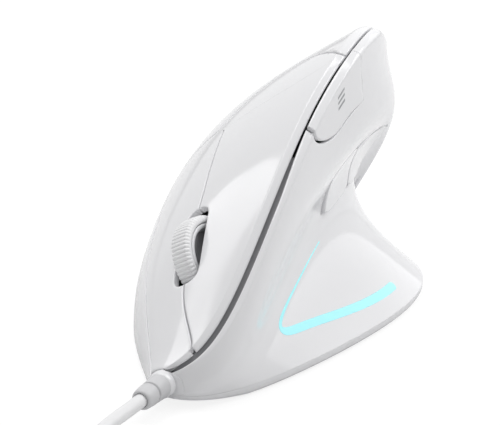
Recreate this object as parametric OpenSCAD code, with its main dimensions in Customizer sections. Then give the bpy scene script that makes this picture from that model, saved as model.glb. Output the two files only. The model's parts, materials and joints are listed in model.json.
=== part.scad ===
// Right-handed vertical mouse with a cord.
// -Y is the nose where the cord leaves, +X the thumb side and +Z up.

/* [Body] */
// Length from the nose to the back
body_length = 120; // [112:1:132]
// Width across the base
body_width = 70; // [67:1:78]
// Height of the crest
body_height = 72; // [70:1:80]
// Wall of the shells
wall = 1.6; // [1.2:0.1:1.8]
// Gap between neighbouring covers
seam_gap = 0.35; // [0.3:0.05:0.5]
// Width of the dark groove along the crest at the front
groove_w = 1.3; // [1.2:0.05:1.5]
// Width of the groove beside the sensitivity button
groove_rear_w = 0.7; // [0.6:0.05:0.9]
// Height of the shells' lower edge above the desk
shell_z = 3; // [2.8:0.1:3.6]

/* [Wheel] */
// Radius of the wheel over its tyre
wheel_r = 11; // [10.4:0.1:11.4]
// Width of the tyre
tyre_w = 5.6; // [5:0.1:6]
// Thickness of the tyre
tyre_t = 2.2; // [1.6:0.1:2.6]
// How far the wheel stands out of the keys
wheel_proud = 4.6; // [4.2:0.1:5]
// Radius of the wheel's axle
axle_r = 1.5; // [1.2:0.1:1.7]
// Room beside the tyre in its slot
slot_room = 1.1; // [0.9:0.1:1.3]

/* [Buttons] */
// Travel of a thumb button and of the wheel
press_travel = 0.5; // [0.3:0.05:0.5]
// Travel of the sensitivity button
dpi_travel = 0.3; // [0.2:0.05:0.3]
// How far the thumb buttons stand out of the shell
thumb_key_proud = 1.2; // [0.8:0.1:1.6]
// Width of a switch
switch_w = 6; // [5.6:0.1:6.2]
// Height of a switch
switch_h = 2.6; // [2.4:0.1:2.8]
// Radius of a switch plunger
plunger_r = 1.5; // [1.2:0.1:1.7]

/* [Boards and base] */
// Thickness of the boards
board_t = 1.6; // [1.2:0.1:1.8]
// Depth of the key board under the keys
key_board_depth = 12; // [11.6:0.1:12.4]
// Height of the base plate's top
base_top = 2.7; // [2.4:0.1:2.7]
// Height of the base plate's underside
base_low = 0.6; // [0.4:0.1:0.7]
// Height of the bosses under the main board
boss_h = 3.3; // [3.1:0.1:3.8]
// Radius of the bosses and posts
boss_r = 2.4; // [2.2:0.1:2.6]
// Thickness of a glide foot
foot_t = 0.8; // [0.7:0.1:0.9]
// Radius of a screw's thread
screw_r = 1; // [0.8:0.1:1.1]

/* [Cord] */
// Diameter of the cord
cord_d = 3.4; // [3.2:0.1:3.5]
// Height of the cord where it leaves the nose
cord_z = 5.6; // [5.4:0.1:5.8]
// Length of the strain relief outside the nose
boot_len = 10; // [9:0.5:11]
// Turn of the strain relief towards the finger side
boot_yaw = 7; // [5:1:9]
// Loops in each layer of the coil
loops = 2.875; // [2.875:1:3.875]
// Layers of the coil
layers = 4; // [4:1:4]
// Inner radius of the coil at the cord's middle
coil_r = 13; // [12.5:0.5:14]
// Length of the plug's grip
grip_len = 24; // [20:1:28]

/* [Hidden] */
$fn = 48;

white = [0.9, 0.9, 0.91];
shade = [0.78, 0.78, 0.8];
dark = [0.3, 0.3, 0.32];
steel = [0.72, 0.73, 0.75];
board_green = [0.1, 0.36, 0.22];
clear = 0.3;
touch = 0.05;
eps = 0.01;

// Stations of the body from nose to back, at its first size
wx = body_width/70;
hz = body_height/72;
finger_x = [-7.4, -8, -15.5, -26.5, -32.5, -35, -31.5, -20.5, 4];
thumb_x = [-1.5, 6.8, 15, 23, 30.5, 35.5, 34, 20.5, 4.4];
crest_x = [-5.5, 2.5, 6, 7.5, 8.5, 12, 11.5, 8.5, 4];
crest_z = [5, 11, 23, 42, 59.5, 70.5, 69, 44.5, 14];
crest_w = [2.5, 4.5, 5, 5, 5, 5, 5, 4, 0.5];
crest_tilt = 10;
finger_slope = [31, 34, 38, 41, 44, 40, 34, 30, 78];
finger_lean = [6, 5, 3, 3, 5, 9, 10, 10, 0];
// Places down the thumb side and how far each swells or sinks at the stations
thumb_k = [0.12, 0.3, 0.48, 0.66, 0.84];
thumb_off = [
  [2, 1, 0.5, 0, -1, -1.5, -0.5, -1, 0], [2, 1.5, 1, -2, -3, -1.5, 1.5, 3, 0],
  [2.2, 2.5, 0, -5.5, -9.5, -12.5, -12.5, -9.5, 0], [2.2, 2, -0.5, -8.5, -15.5, -19, -18.5, -12, 0],
  [2.4, 2, -1, -6, -10, -12.5, -14, -12, 0]];

// Uniform cubic spline through a list's ends
function spline(p, t) =
  let (n = len(p) - 1, x = min(max(t, 0), 1)*n, i = min(floor(x), n - 1), f = x - i,
    a = i == 0 ? 2*p[0] - p[1] : p[i - 1], d = i + 2 > n ? 2*p[n] - p[n - 1] : p[i + 2])
  (pow(1 - f, 3)*a + (3*pow(f, 3) - 6*f*f + 4)*p[i]
    + (3*f + 3*f*f - 3*pow(f, 3) + 1)*p[i + 1] + pow(f, 3)*d)/6;
function bezier(p, s) =
  pow(1 - s, 3)*p[0] + 3*s*pow(1 - s, 2)*p[1] + 3*s*s*(1 - s)*p[2] + pow(s, 3)*p[3];
function unit(a) = a/norm(a);
function mix(a, b, t) = a + (b - a)*t;
function ease(t) = let (s = min(max(t, 0), 1)) s*s*(3 - 2*s);

// Body surface: u runs from nose to back, and v or w from the crest down
// The shells stop short of the nose by the cord's collar
collar_t = 1.4;
nose_back = collar_t + 0.1;
function body_y(u) = -body_length/2*cos(180*u) + nose_back*(1 - ease(u/0.3));
function lift(u, q) = [q[0], body_y(u), q[1]];
function crest_a(u) = [spline(crest_x, u)*wx, shell_z + spline(crest_z, u)*hz];
function crest_b(u) = crest_a(u) + spline(crest_w, u)*[cos(crest_tilt), -sin(crest_tilt)];
function finger_foot(u) = [spline(finger_x, u)*wx, shell_z];
function thumb_foot(u) = [spline(thumb_x, u)*wx, shell_z];
function finger_at(u, v) =
  let (a = crest_a(u), f = finger_foot(u), d = norm(a - f), slope = spline(finger_slope, u),
    lean = spline(finger_lean, u))
  lift(u, v < 0 ? a - v*(crest_b(u) - a)
    : bezier([a, a - 0.38*d*[cos(slope), sin(slope)], f + 0.4*d*[-sin(lean), cos(lean)], f], v));
function thumb_at(u, w) =
  let (a = crest_a(u), b = crest_b(u), t = thumb_foot(u))
  lift(u, w < 0 ? b + w*(b - a)
    : spline([b, for (k = [0:4]) mix(b, t, thumb_k[k]) + [spline(thumb_off[k], u)*wx, 0], t], w));
function skin(side, u, v) = side > 0 ? finger_at(u, v) : thumb_at(u, v);
function skin_n(side, u, v) =
  let (e = 0.004, du = skin(side, min(u + e, 1), v) - skin(side, max(u - e, 0), v),
    dv = skin(side, u, min(v + e, 1)) - skin(side, u, v - e))
  unit(cross(du, dv))*side;
function run_v(side, u, v) = norm(skin(side, u, v + 0.01) - skin(side, u, v - 0.01))/0.02;
function run_u(side, u, v) = norm(skin(side, u + 0.005, v) - skin(side, u - 0.005, v))/0.01;
thin_wall = 0.9;
function wall_at(u) = min(wall, max(thin_wall, 0.35*spline(crest_w, u)));

// Seams of the finger side
nose_u = 0.008;
finger_nose_u = 0.085;
key_u = 0.02;
key_slant = 0.08;
tip_u = 0.125;
hinge_u = 0.57;
bevel = 0.42;
slit_end_u = 0.115;
slot_front_u = 0.285;
slot_rear_u = 0.41;
wheel_u = 0.35;
wheel_v = 0.4;
function groove_at(u) =
  mix(groove_w, groove_rear_w, ease((u - 0.4)/0.1))*min(1, (u < 0.5 ? 0.35 : 0) + spline(crest_w, u)/5);
function thumb_edge(u) = -(1 - bevel - groove_at(u)/spline(crest_w, u));
function slit_v(u) = u < slit_end_u ? -bevel*min(1, (slit_end_u - u)/0.01)
  : u < slot_front_u ? wheel_v*(1 - pow((slot_front_u - u)/(slot_front_u - slit_end_u), 1.8))
  : wheel_v + 0.2*max(0, u - slot_rear_u - 0.03);
function crease_v(u) = 0.835 - 0.25*u;
function seam_u(v) = 0.585 + 0.072*sin(180*min(max(v, 0), 0.46)/0.46);
function slot_half(u) =
  let (c = (slot_front_u + slot_rear_u)/2, h = (slot_rear_u - slot_front_u)/2, t = abs(u - c)/h)
  t < 1 ? (tyre_w/2 + slot_room)*sqrt(1 - pow(t, 8)) : 0;
function half_gap_v(side, u, v) = seam_gap/2/run_v(side, u, v);
function half_gap_u(side, u, v) = seam_gap/2/run_u(side, u, v);
function slit_gap_v(u) = max(seam_gap/2, slot_half(u))/run_v(1, u, max(slit_v(u), 0.05));
function steps(a, b, n) = [for (i = [0:n]) mix(a, b, i/n)];

// Frame of the keys: X up the slope, Y to the back, Z out of the keys
wheel_seat = finger_at(wheel_u, wheel_v);
key_turn = [36, -33, -10];
key_x = [cos(key_turn[2])*cos(key_turn[1]), sin(key_turn[2])*cos(key_turn[1]), -sin(key_turn[1])];
key_y = [cos(key_turn[2])*sin(key_turn[1])*sin(key_turn[0]) - sin(key_turn[2])*cos(key_turn[0]),
  sin(key_turn[2])*sin(key_turn[1])*sin(key_turn[0]) + cos(key_turn[2])*cos(key_turn[0]),
  cos(key_turn[1])*sin(key_turn[0])];
key_z = cross(key_x, key_y);
function to_key(p) = let (d = p - wheel_seat) [d*key_x, d*key_y, d*key_z];
function from_key(q) = wheel_seat + q[0]*key_x + q[1]*key_y + q[2]*key_z;
axle_z = wheel_proud - wheel_r;
hub_r = wheel_r - tyre_t;
hub_w = tyre_w - 0.6;
cheek_x = tyre_w/2 + 0.6;
cheek_t = 1.6;
cheek_half = 4.5;
cheek_top = 2.4;
middle_q = [cheek_x + cheek_t + switch_w/2 + clear, 0];
axle_half = middle_q[0] + 1;
board_z = -key_board_depth;
left_nub = to_key(finger_at(0.3, 0.2));
right_nub = to_key(finger_at(0.3, 0.6));
board_x0 = right_nub[0] - switch_w/2 - 3.4;
board_x1 = left_nub[0] + switch_w/2 + 0.4;
board_y0 = min(left_nub[1], right_nub[1]) - switch_w/2 - 0.4;
board_y1 = 21;
slot_y = sqrt(pow(wheel_r, 2) - pow(board_z - axle_z, 2)) + 0.8;
posts = [[board_x0 + boss_r, 2], [board_x1 - boss_r - 0.6, 9], [board_x0 + boss_r, 18]];
stub_len = 6;
knuckle = 0.3;
function post_foot(k) = from_key([posts[k][0], posts[k][1], board_z - board_t - stub_len + 1]);

// Switch heights
hole_depth = 1.9;
plunger_out = 1.1;

// Thumb side: sensitivity button, two thumb keys and the light hook
dpi_u = [0.455, 0.6];
dpi_w = 0.215;
dpi_round_u = 0.53;
dpi_free_u = 0.0015;
thumb_us = [0.558, 0.665, 0.8];
key_band = 0.19;
hook_front = [0.352, 0.37];
hook_thin_u = 0.535;
hook_end_u = 0.623;
hook_thin = 0.012;
hook_band = 0.034;
function dpi_low(u) =
  dpi_w*sqrt(1 - 0.98*pow(min(1, max(0, dpi_round_u - u)/(dpi_round_u - dpi_u[0])), 2));
function thumb_low(u) = 0.65 - 7.5*pow(max(0, min(u, 0.84) - 0.68), 2);
function thumb_high(u) = thumb_low(u) - key_band;
function hook_a(u) = 0.75 - 0.26*(min(max(u, 0.35), 0.54) - 0.37);
function hook_b(u) = 0.945 - 0.12*pow((0.6 - min(max(u, 0.35), 0.6))/0.24, 2);
thumb_columns = [nose_u, 0.03, 0.06, 0.1, 0.14, 0.18, 0.22, 0.26, 0.3, 0.33, hook_front[0], hook_front[1],
  0.4, 0.43, dpi_u[0], 0.465, 0.48, 0.505, dpi_round_u, hook_thin_u, thumb_us[0], 0.58, dpi_u[1], hook_end_u,
  0.645, thumb_us[1], 0.69, 0.72, 0.75, 0.775, thumb_us[2], 0.84, 0.88, 0.92, 0.96, 1];
function thumb_rows(u) = [thumb_edge(u), 0, dpi_low(u)/2, dpi_low(u), (dpi_low(u) + thumb_high(u))/2,
  thumb_high(u), thumb_high(u) + key_band/2, thumb_low(u), hook_a(u) - hook_thin, hook_a(u) + hook_thin,
  mix(hook_a(u), hook_b(u), 0.5), hook_b(u) - hook_band/2, hook_b(u) + hook_band/2, 1];
function between(a, b, x) = x > a - eps/10 && x < b - eps/10;
function thumb_open(u, j) = between(dpi_u[0], dpi_u[1], u) && j < 3
  || between(thumb_us[0], thumb_us[2], u) && (j == 5 || j == 6) || hook_open(u, j);
function hook_open(u, j) = between(hook_front[0], hook_thin_u, u) && j == 8
  || between(hook_front[0], hook_front[1], u) && j >= 8 && j <= 11
  || between(hook_front[0], hook_end_u, u) && j == 11;

// Thumb board, upright behind the thumb keys
thumb_mid = [for (k = [0:1]) let (u = mix(thumb_us[k], thumb_us[k + 1], 0.5)) [u, thumb_low(u) - key_band/2]];
thumb_spot = [for (p = thumb_mid) thumb_at(p[0], p[1])];
dpi_spot = thumb_at(0.565, 0.16);
stem_min = 1.2;
switch_stack = switch_h + plunger_out + stem_min + wall;
thumb_board_x = min(thumb_spot[0][0], thumb_spot[1][0]) - switch_stack - board_t;
dpi_board_x = dpi_spot[0] - switch_stack - board_t;

// Main board on the base
main_x = [-24, -5];
main_y = [5, 44];
main_z = base_top + boss_h;
boss_in = 3;
main_bosses = [for (i = [0, 1], j = [0, 1]) [main_x[i] + boss_in*(1 - 2*i), main_y[j] + boss_in*(1 - 2*j)]];
sensor_at = [-14.5, 24];
sensor_size = [9, 11];
socket_at = [-14.5, 14];
socket_half = [4, 3];
socket_h = 5;
light_board_at = [10, -12];
light_board_size = [9, 14];
frame_t = 1.5;
bar_w = 3;
rib_y = [27, 33];
rib_mid = (rib_y[0] + rib_y[1])/2;
arm_h = 3.6;
base_inset = 0.6;
head_r = 1.9*screw_r;
head_h = 0.9;
feet = [[0, -38, 6], [-17, 30, 7], [17, 30, 7]];

// Cord route, round points along the desk and through the nose
cord_r = cord_d/2;
nose_x = -3.8;
boot_dir = [-sin(boot_yaw), -cos(boot_yaw), 0];
boot_root = [nose_x, -body_length/2, cord_z];
coil_at = [-32, -140];
coil_pitch = cord_d + 0.5;
coil_z = cord_r + 1.1;
coil_out = coil_r + loops*coil_pitch;
turns = loops*layers;
lead_x = coil_at[0] + coil_out;
lead_points = [boot_root + 3*boot_dir, boot_root + boot_len*boot_dir, boot_root + (boot_len + 6)*boot_dir,
  [-7, -90, 6.6], [-8, -104, 4.2], [lead_x, -118, coil_z], [lead_x, -124, coil_z], [lead_x, -130, coil_z],
  [lead_x, coil_at[1] + cord_d, coil_z]];
coil_top = coil_z + (layers - 1)*coil_pitch;
plug_y = -96;
plug_z = 4;
tail_x = coil_at[0] - coil_out;
tail_points = [[tail_x, coil_at[1] + cord_d, coil_top], [tail_x, -133, coil_top], [tail_x, -129, coil_top],
  [tail_x, -122, 11.5], [tail_x, -114, 6.5], [tail_x, -107, plug_z], [tail_x, -103, plug_z],
  [tail_x, -100, plug_z], [tail_x, plug_y, plug_z]];
inner_points = [boot_root - collar_t*boot_dir, [-1, -48, 6.2], [0, -38, 7], [0, -24, 7.5], [-1, -12, 9],
  [-4, -4, 10.5], [-9, 2, 10.5], [socket_at[0], 5, 10.5], [socket_at[0], 7, 10.5], [socket_at[0], 9, 10.5],
  [socket_at[0], socket_at[1] - socket_half[1], 10.5]];
inner_lead_r = 1.3;

// Loops wind in and out again, and climb a layer where the spiral turns
function coil_point(s) =
  let (k = min(floor(s/loops), layers - 1), f = s/loops - k,
    r = mix(coil_out, coil_r, k % 2 == 0 ? f : 1 - f), turn = round(s/loops),
    near = s - turn*loops, climbs = turn > 0 && turn < layers && abs(near) < 0.25,
    z = climbs ? turn - 0.5 + 2*near : k)
  [coil_at[0] + r*cos(360*s), coil_at[1] - r*sin(360*s), coil_z + z*coil_pitch];
coil_rings = 24;
coil_path = concat([coil_point(0) + [0, cord_d, 0]],
  [for (i = [0:round(turns*coil_rings)]) coil_point(i/coil_rings)], [coil_point(turns) + [0, cord_d, 0]]);
coil_gap = min([for (i = [1:len(coil_path) - 2], j = [i + 12:1:min(len(coil_path) - 2, i + 4*coil_rings)])
  norm(coil_path[i] - coil_path[j])]) - cord_d;
echo(coil_gap = coil_gap);

function path_t(p, i) = unit(p[min(i + 1, len(p) - 1)] - p[max(i - 1, 0)]);
function ring(c, t, r, sides) =
  let (a = unit(cross(t, [0, 0, 1])), b = cross(a, t))
  [for (k = [0:sides - 1]) c + r*(a*cos(360*(k + 0.5)/sides) + b*sin(360*(k + 0.5)/sides))];
function smooth_path(p, n) = [for (i = [0:n]) spline(p, i/n)];

// One tube swept along a path
module tube(path, r, sides) {
  n = len(path);
  rings = [for (i = [0:n - 1]) each ring(path[i], path_t(path, i), r, sides)];
  walls = [for (i = [0:n - 2], k = [0:sides - 1])
    let (a = i*sides + k, b = i*sides + (k + 1) % sides) each [[a, b, b + sides], [a, b + sides, a + sides]]];
  last = (n - 1)*sides;
  caps = [for (k = [1:sides - 2]) each [[0, k + 1, k], [last, last + k, last + k + 1]]];
  polyhedron(rings, concat(walls, caps));
}

// Closed sheet of the body's skin over a grid of [u, v] places
module sheet(side, grid, open = [], proud = 0, depth = 0) {
  ni = len(grid);
  nj = len(grid[0]);
  function kept(i, j) = i >= 0 && j >= 0 && i < ni - 1 && j < nj - 1 && (len(open) == 0 || !open[i][j]);
  function id(i, j, k) = 2*(i*nj + j) + k;
  function rim(p, q) = [[q, p, p + 1], [q, p + 1, q + 1]];
  function within(q) = [q[0], min(q[1], body_length/2 - thin_wall), max(q[2], shell_z)];
  function turned(f) = side > 0 ? [f[0], f[2], f[1]] : f;
  points = [for (row = grid, g = row)
    let (p = skin(side, g[0], g[1]), n = skin_n(side, g[0], g[1]))
    each [p + proud*n, within(p - (depth > 0 ? depth : wall_at(g[0]))*n)]];
  faces = [for (i = [0:ni - 2], j = [0:nj - 2]) if (kept(i, j))
    let (a = id(i, j, 0), b = id(i + 1, j, 0), c = id(i + 1, j + 1, 0), d = id(i, j + 1, 0))
    each concat([[a, b, c], [a, c, d], [a + 1, c + 1, b + 1], [a + 1, d + 1, c + 1]],
      kept(i, j - 1) ? [] : rim(a, b), kept(i + 1, j) ? [] : rim(b, c),
      kept(i, j + 1) ? [] : rim(c, d), kept(i - 1, j) ? [] : rim(d, a))];
  polyhedron(points, [for (f = faces) turned(f)]);
}
module key_place() { translate(wheel_seat) rotate(key_turn) children(); }
module on_upright(board_x, spot) {
  translate([board_x + board_t, spot[1], spot[2]]) rotate([0, 90, 0]) children();
}
module rod(r, z0, z1) { translate([0, 0, z0]) cylinder(r = r, h = z1 - z0); }
module block(a, b) { translate(a) cube(b - a); }

// Shells
function below_crease(u, j, n) = mix(crease_v(u) + half_gap_v(1, u, crease_v(u)), 1, j/n);
upper_rows = [0, 0.08, 0.18, 0.32, 0.48, 0.64, 0.82, 1];
function finger_row(u, j) = j == 0 ? -bevel : j <= len(upper_rows)
  ? upper_rows[j - 1]*(crease_v(u) + half_gap_v(1, u, crease_v(u))) : below_crease(u, j - len(upper_rows), 4);
finger_front = 22;
finger_back = 14;
function finger_column(i, j) =
  let (v = finger_row(0.6, j), s = seam_u(v) + half_gap_u(1, 0.6, max(v, 0)))
  i <= finger_front ? mix(finger_nose_u, s, i/finger_front) : mix(s, 1, (i - finger_front)/finger_back);
module finger_shell() {
  grid = [for (i = [0:finger_front + finger_back]) [for (j = [0:len(upper_rows) + 4])
    let (u = finger_column(i, j)) [u, finger_row(u, j)]]];
  open = [for (i = [0:finger_front + finger_back - 1]) [for (j = [0:len(upper_rows) + 3])
    i < finger_front && j < len(upper_rows)]];
  color(white) sheet(1, grid, open);
}
module thumb_shell() {
  grid = [for (u = thumb_columns) [for (w = thumb_rows(u)) [u, w]]];
  open = [for (u = thumb_columns) [for (j = [0:12]) thumb_open(u, j)]];
  color(white) sheet(-1, grid, open);
}
module key_panel() {
  rows = len(upper_rows);
  u0 = hinge_u + half_gap_u(1, hinge_u, 0.3);
  grid = [for (i = [0:4]) [for (j = [0:rows])
    let (v = finger_row(0.6, j), u = mix(u0, seam_u(v) - half_gap_u(1, 0.6, max(v, 0)), i/4))
    [u, min(finger_row(u, j), crease_v(u) - half_gap_v(1, u, crease_v(u)))]]];
  color(white) sheet(1, grid);
}

// Main keys, each with a nub over its switch
nub_r = 1.4;
function left_row(u, j) = j == 0 ? -bevel : mix(0, slit_v(u) - slit_gap_v(u), (j - 1)/6);
function right_row(u, j) =
  let (a = slit_v(u) + (u < slit_end_u - 0.01 ? 0 : slit_gap_v(u)),
    b = crease_v(u) - half_gap_v(1, u, crease_v(u)))
  j == 0 ? a : mix(max(a + 0.02, 0), b, (j - 1)/7);
module nub(q) {
  key_place() translate([q[0], q[1], 0])
    rod(nub_r, board_z + switch_h + plunger_out + touch, q[2] - wall/2);
}
module left_key() {
  us = steps(tip_u, hinge_u - half_gap_u(1, hinge_u, 0.3), 34);
  color(white) union() {
    sheet(1, [for (u = us) [for (j = [0:7]) [u, left_row(u, j)]]]);
    nub(left_nub);
  }
}
module right_key() {
  us = concat([key_u, 0.04, 0.065, 0.09, 0.105, 0.115],
    steps(0.125, hinge_u - half_gap_u(1, hinge_u, 0.3), 34));
  function slanted(u, j) = u + key_slant*max(0, j - 1)/7*max(0, 0.125 - u)/(0.125 - key_u);
  color(white) union() {
    sheet(1, [for (u = us) [for (j = [0:8]) let (t = slanted(u, j)) [t, right_row(j < 2 ? u : t, j)]]]);
    nub(right_nub);
  }
}
strip_us = steps(0.05, 0.42, 16);
strip_side = 0.1;
strip_free = 0.5;
strip_t = 0.8;
strip_deep = [2.4, 0.8];
function strip_top(u) = mix(strip_deep[0], strip_deep[1], ease((u - tip_u + 0.01)/0.02));
module crest_strip() {
  points = [for (u = strip_us)
    let (a = lift(u, crest_a(u)), w = spline(crest_w, u), x = unit(lift(u, crest_b(u)) - a),
      n = skin_n(1, u, -bevel/2), l = a + x*(bevel*w + strip_free),
      r = a + x*(bevel*w + groove_at(u) - strip_side))
    each [for (c = [[l, 0], [r, 0], [r, 1], [l, 1]]) c[0] - (strip_top(u) + strip_t*c[1])*n]];
  n = len(strip_us);
  sides = [for (i = [0:n - 2], k = [0:3])
    let (a = 4*i + k, b = 4*i + (k + 1) % 4) each [[a, b + 4, b], [a, a + 4, b + 4]]];
  color(dark) polyhedron(points, concat(sides, [[0, 1, 2], [0, 2, 3]],
    [[4*n - 4, 4*n - 2, 4*n - 3], [4*n - 4, 4*n - 1, 4*n - 2]]));
}
collar_r = 2.9;
module nose_collar() {
  color(shade) translate(boot_root) rotate([90, 0, 0]) difference() {
    rod(collar_r, -collar_t, 0);
    rod(shank_r + 0.25, -collar_t - 1, 1);
  }
}

// Thumb side buttons, each with a stem to its switch
module stem(board_x, spot) {
  on_upright(board_x, spot) rod(nub_r, switch_h + plunger_out + touch, spot[0] - wall/2 - board_x - board_t);
}
function inset_u(a, b, w, n) = steps(a + half_gap_u(-1, a, w)*2, b - half_gap_u(-1, b, w)*2, n);
module dpi_button() {
  us = inset_u(dpi_u[0] + dpi_free_u, dpi_u[1], 0.1, 8);
  function low(u) = max(0.01, dpi_low(u - 2*half_gap_u(-1, u, 0.1)) - 2*half_gap_v(-1, u, dpi_w));
  color(white) union() {
    sheet(-1, [for (u = us) [for (w = [thumb_edge(u), 0, low(u)/3, low(u)*2/3, low(u)]) [u, w]]]);
    stem(dpi_board_x, dpi_spot);
  }
}
module thumb_key(k) {
  us = inset_u(thumb_us[k], thumb_us[k + 1], 0.55, 10);
  grid = [for (u = us) [for (t = [0:6])
    let (g = 2*half_gap_v(-1, u, thumb_low(u))) [u, mix(thumb_high(u) + g, thumb_low(u) - g, t/6)]]];
  color(white) union() {
    sheet(-1, grid, [], thumb_key_proud);
    stem(thumb_board_x, thumb_spot[k]);
  }
}
module forward_button() { thumb_key(0); }
module back_button() { thumb_key(1); }
guide_depth = 2.6;
module light_guide() {
  g = seam_gap/2;
  columns = [hook_front[0] + 2*half_gap_u(-1, hook_front[0], 0.8),
    hook_front[1] - 2*half_gap_u(-1, hook_front[1], 0.8), 0.39, 0.41, 0.43, 0.455, 0.48, 0.505,
    hook_thin_u - half_gap_u(-1, 0.5, 0.7), 0.56, 0.59, hook_end_u - half_gap_u(-1, 0.62, 0.9)];
  function rows(u) =
    let (a = hook_a(u), b = hook_b(u), ga = g/run_v(-1, u, 0.72), gb = g/run_v(-1, u, 0.9))
    [a - hook_thin + ga, a + hook_thin - ga, (a + b)/2, b - hook_band/2 + gb, b + hook_band/2 - gb];
  open = [for (i = [0:len(columns) - 2]) [for (j = [0:3])
    i == 0 ? false : j == 0 ? columns[i] > hook_thin_u - 0.01 : j < 3]];
  color([0.6, 0.95, 1]) sheet(-1, [for (u = columns) [for (w = rows(u)) [u, w]]], open, 0, guide_depth);
}

// Base, feet and screws
// the base's underside rises towards the nose from here
rise_y = -45;
nose_rise = 1.5;
module base_plate() {
  us = steps(0.02, 0.98, 40);
  edge = concat([for (u = us) [finger_foot(u)[0] + base_inset, body_y(u)]],
    [for (i = [len(us) - 1:-1:0]) [thumb_foot(us[i])[0] - base_inset, body_y(us[i])]]);
  color(shade) difference() {
    union() {
      translate([0, 0, base_low]) linear_extrude(base_top - base_low) polygon(edge);
      for (p = main_bosses) translate([p[0], p[1], 0]) rod(boss_r, base_top - eps, main_z);
    }
    for (p = main_bosses) translate([p[0], p[1], 0]) rod(screw_r + touch, base_top + 0.4, main_z + 1);
    for (f = feet) translate([f[0], f[1], 0]) rod(f[2] + touch, 0, foot_t);
    for (k = [1, 2]) translate([post_foot(k)[0], post_foot(k)[1], 0]) {
      rod(screw_r + 0.3, 0, base_top + 1);
      rod(head_r + 0.2, 0, base_low + head_h);
    }
    translate([sensor_at[0] - sensor_size[0]/3, sensor_at[1] - sensor_size[1]/3, 0])
      cube([sensor_size[0]*2/3, sensor_size[1]*2/3, base_top + 1]);
    translate([0, rise_y, base_low]) rotate([-atan(nose_rise/(body_length/2 + rise_y)), 0, 0])
      translate([-body_length/2, -body_length/2, -base_top]) cube([body_length, body_length/2, base_top]);
  }
}
module glide_feet() {
  color([0.25, 0.25, 0.27]) for (f = feet) translate([f[0], f[1], 0]) rod(f[2], 0, foot_t);
}
module case_screws() {
  color(steel) for (k = [1, 2]) translate([post_foot(k)[0], post_foot(k)[1], 0]) {
    rod(head_r, base_low + 0.1, base_low + head_h);
    rod(screw_r, base_low + head_h - eps, base_top + frame_t + 4);
  }
}

// Frame and boards
module inner_frame() {
  z1 = base_top + frame_t;
  feet_xy = [for (k = [0:2]) [post_foot(k)[0], post_foot(k)[1]]];
  rib_x = thumb_board_x - bar_w;
  arm_z = dpi_spot[2] - 1;
  color(dark) difference() {
    union() {
      for (k = [0:2]) {
        translate([feet_xy[k][0], feet_xy[k][1], 0]) rod(boss_r, base_top, post_foot(k)[2]);
        translate(post_foot(k)) sphere(r = boss_r + knuckle);
        key_place() translate([posts[k][0], posts[k][1], 0])
          rod(boss_r, board_z - board_t - stub_len + 1, board_z - board_t);
      }
      for (k = [0, 1]) frame_bar(feet_xy[k], feet_xy[k == 0 ? 2 : 0]);
      frame_bar(feet_xy[1], [rib_x + bar_w/2, rib_y[0]]);
      block([rib_x, rib_y[0], base_top], [thumb_board_x, rib_y[1], arm_z]);
      block([rib_x, rib_y[0], arm_z - arm_h], [dpi_board_x, rib_y[1], arm_z]);
      block([dpi_board_x - 2.6, dpi_spot[1] - 2, arm_z - arm_h], [dpi_board_x, rib_y[1], arm_z]);
    }
    for (k = [0:2]) key_place() translate([posts[k][0], posts[k][1], 0])
      rod(screw_r + touch, board_z - board_t - 4, board_z);
    for (k = [1, 2]) translate([feet_xy[k][0], feet_xy[k][1], 0]) rod(screw_r + touch, 0, z1 + 4.2);
    for (z = board_holes) translate([0, rib_mid, z]) rotate([0, 90, 0])
      rod(screw_r + touch, rib_x + 0.4, thumb_board_x + 1);
  }
}
module frame_bar(a, b) {
  d = b - a;
  translate([a[0], a[1], base_top]) rotate([0, 0, atan2(d[1], d[0])])
    translate([0, -bar_w/2, 0]) cube([norm(d), bar_w, frame_t]);
}
module key_board() {
  color(board_green) key_place() difference() {
    block([board_x0, board_y0, board_z - board_t], [board_x1, board_y1, board_z]);
    block([-tyre_w/2 - 0.5, -slot_y, board_z - 5], [tyre_w/2 + 0.5, slot_y, board_z + 5]);
    for (p = posts) translate([p[0], p[1], 0]) rod(screw_r + 0.2, board_z - 5, board_z + 1);
  }
}
module thumb_board() {
  lowest = min(thumb_spot[0][2], thumb_spot[1][2]) - 6;
  highest = max(thumb_spot[0][2], thumb_spot[1][2]) + 6;
  color(board_green) difference() {
    block([thumb_board_x, thumb_spot[0][1] - 5, lowest],
      [thumb_board_x + board_t, thumb_spot[1][1] + 5, highest]);
    for (z = board_holes) translate([0, rib_mid, z]) rotate([0, 90, 0]) rod(screw_r + 0.2, 0, 20);
  }
}
board_holes = [thumb_spot[0][2] - 3.5, thumb_spot[0][2] + 4.5];
module dpi_board() {
  color(board_green) block([dpi_board_x, dpi_spot[1] - switch_w/2, dpi_spot[2] - 5],
    [dpi_board_x + board_t, dpi_spot[1] + 4, dpi_spot[2] + switch_w/2]);
}
module main_board() {
  color(board_green) difference() {
    block([main_x[0], main_y[0], main_z], [main_x[1], main_y[1], main_z + board_t]);
    for (p = main_bosses) translate([p[0], p[1], 0]) rod(screw_r + 0.2, 0, 20);
    translate([sensor_at[0], sensor_at[1], 0]) rod(2, 0, 20);
  }
}
module board_screws() {
  color(steel) {
    for (p = main_bosses) translate([p[0], p[1], main_z + board_t]) board_screw(boss_h - 0.6);
    key_place() for (p = posts) translate([p[0], p[1], board_z]) board_screw(3.4);
    for (z = board_holes) on_upright(thumb_board_x, [0, rib_mid, z]) board_screw(2.2);
  }
}
module board_screw(deep) {
  rod(head_r, 0, head_h);
  rod(screw_r, -board_t - deep, eps);
}
module sensor_chip() {
  z = main_z + board_t;
  color(dark) block([sensor_at[0] - sensor_size[0]/2, sensor_at[1] - sensor_size[1]/2, z],
    [sensor_at[0] + sensor_size[0]/2, sensor_at[1] + sensor_size[1]/2, z + 2.4]);
}
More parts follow.
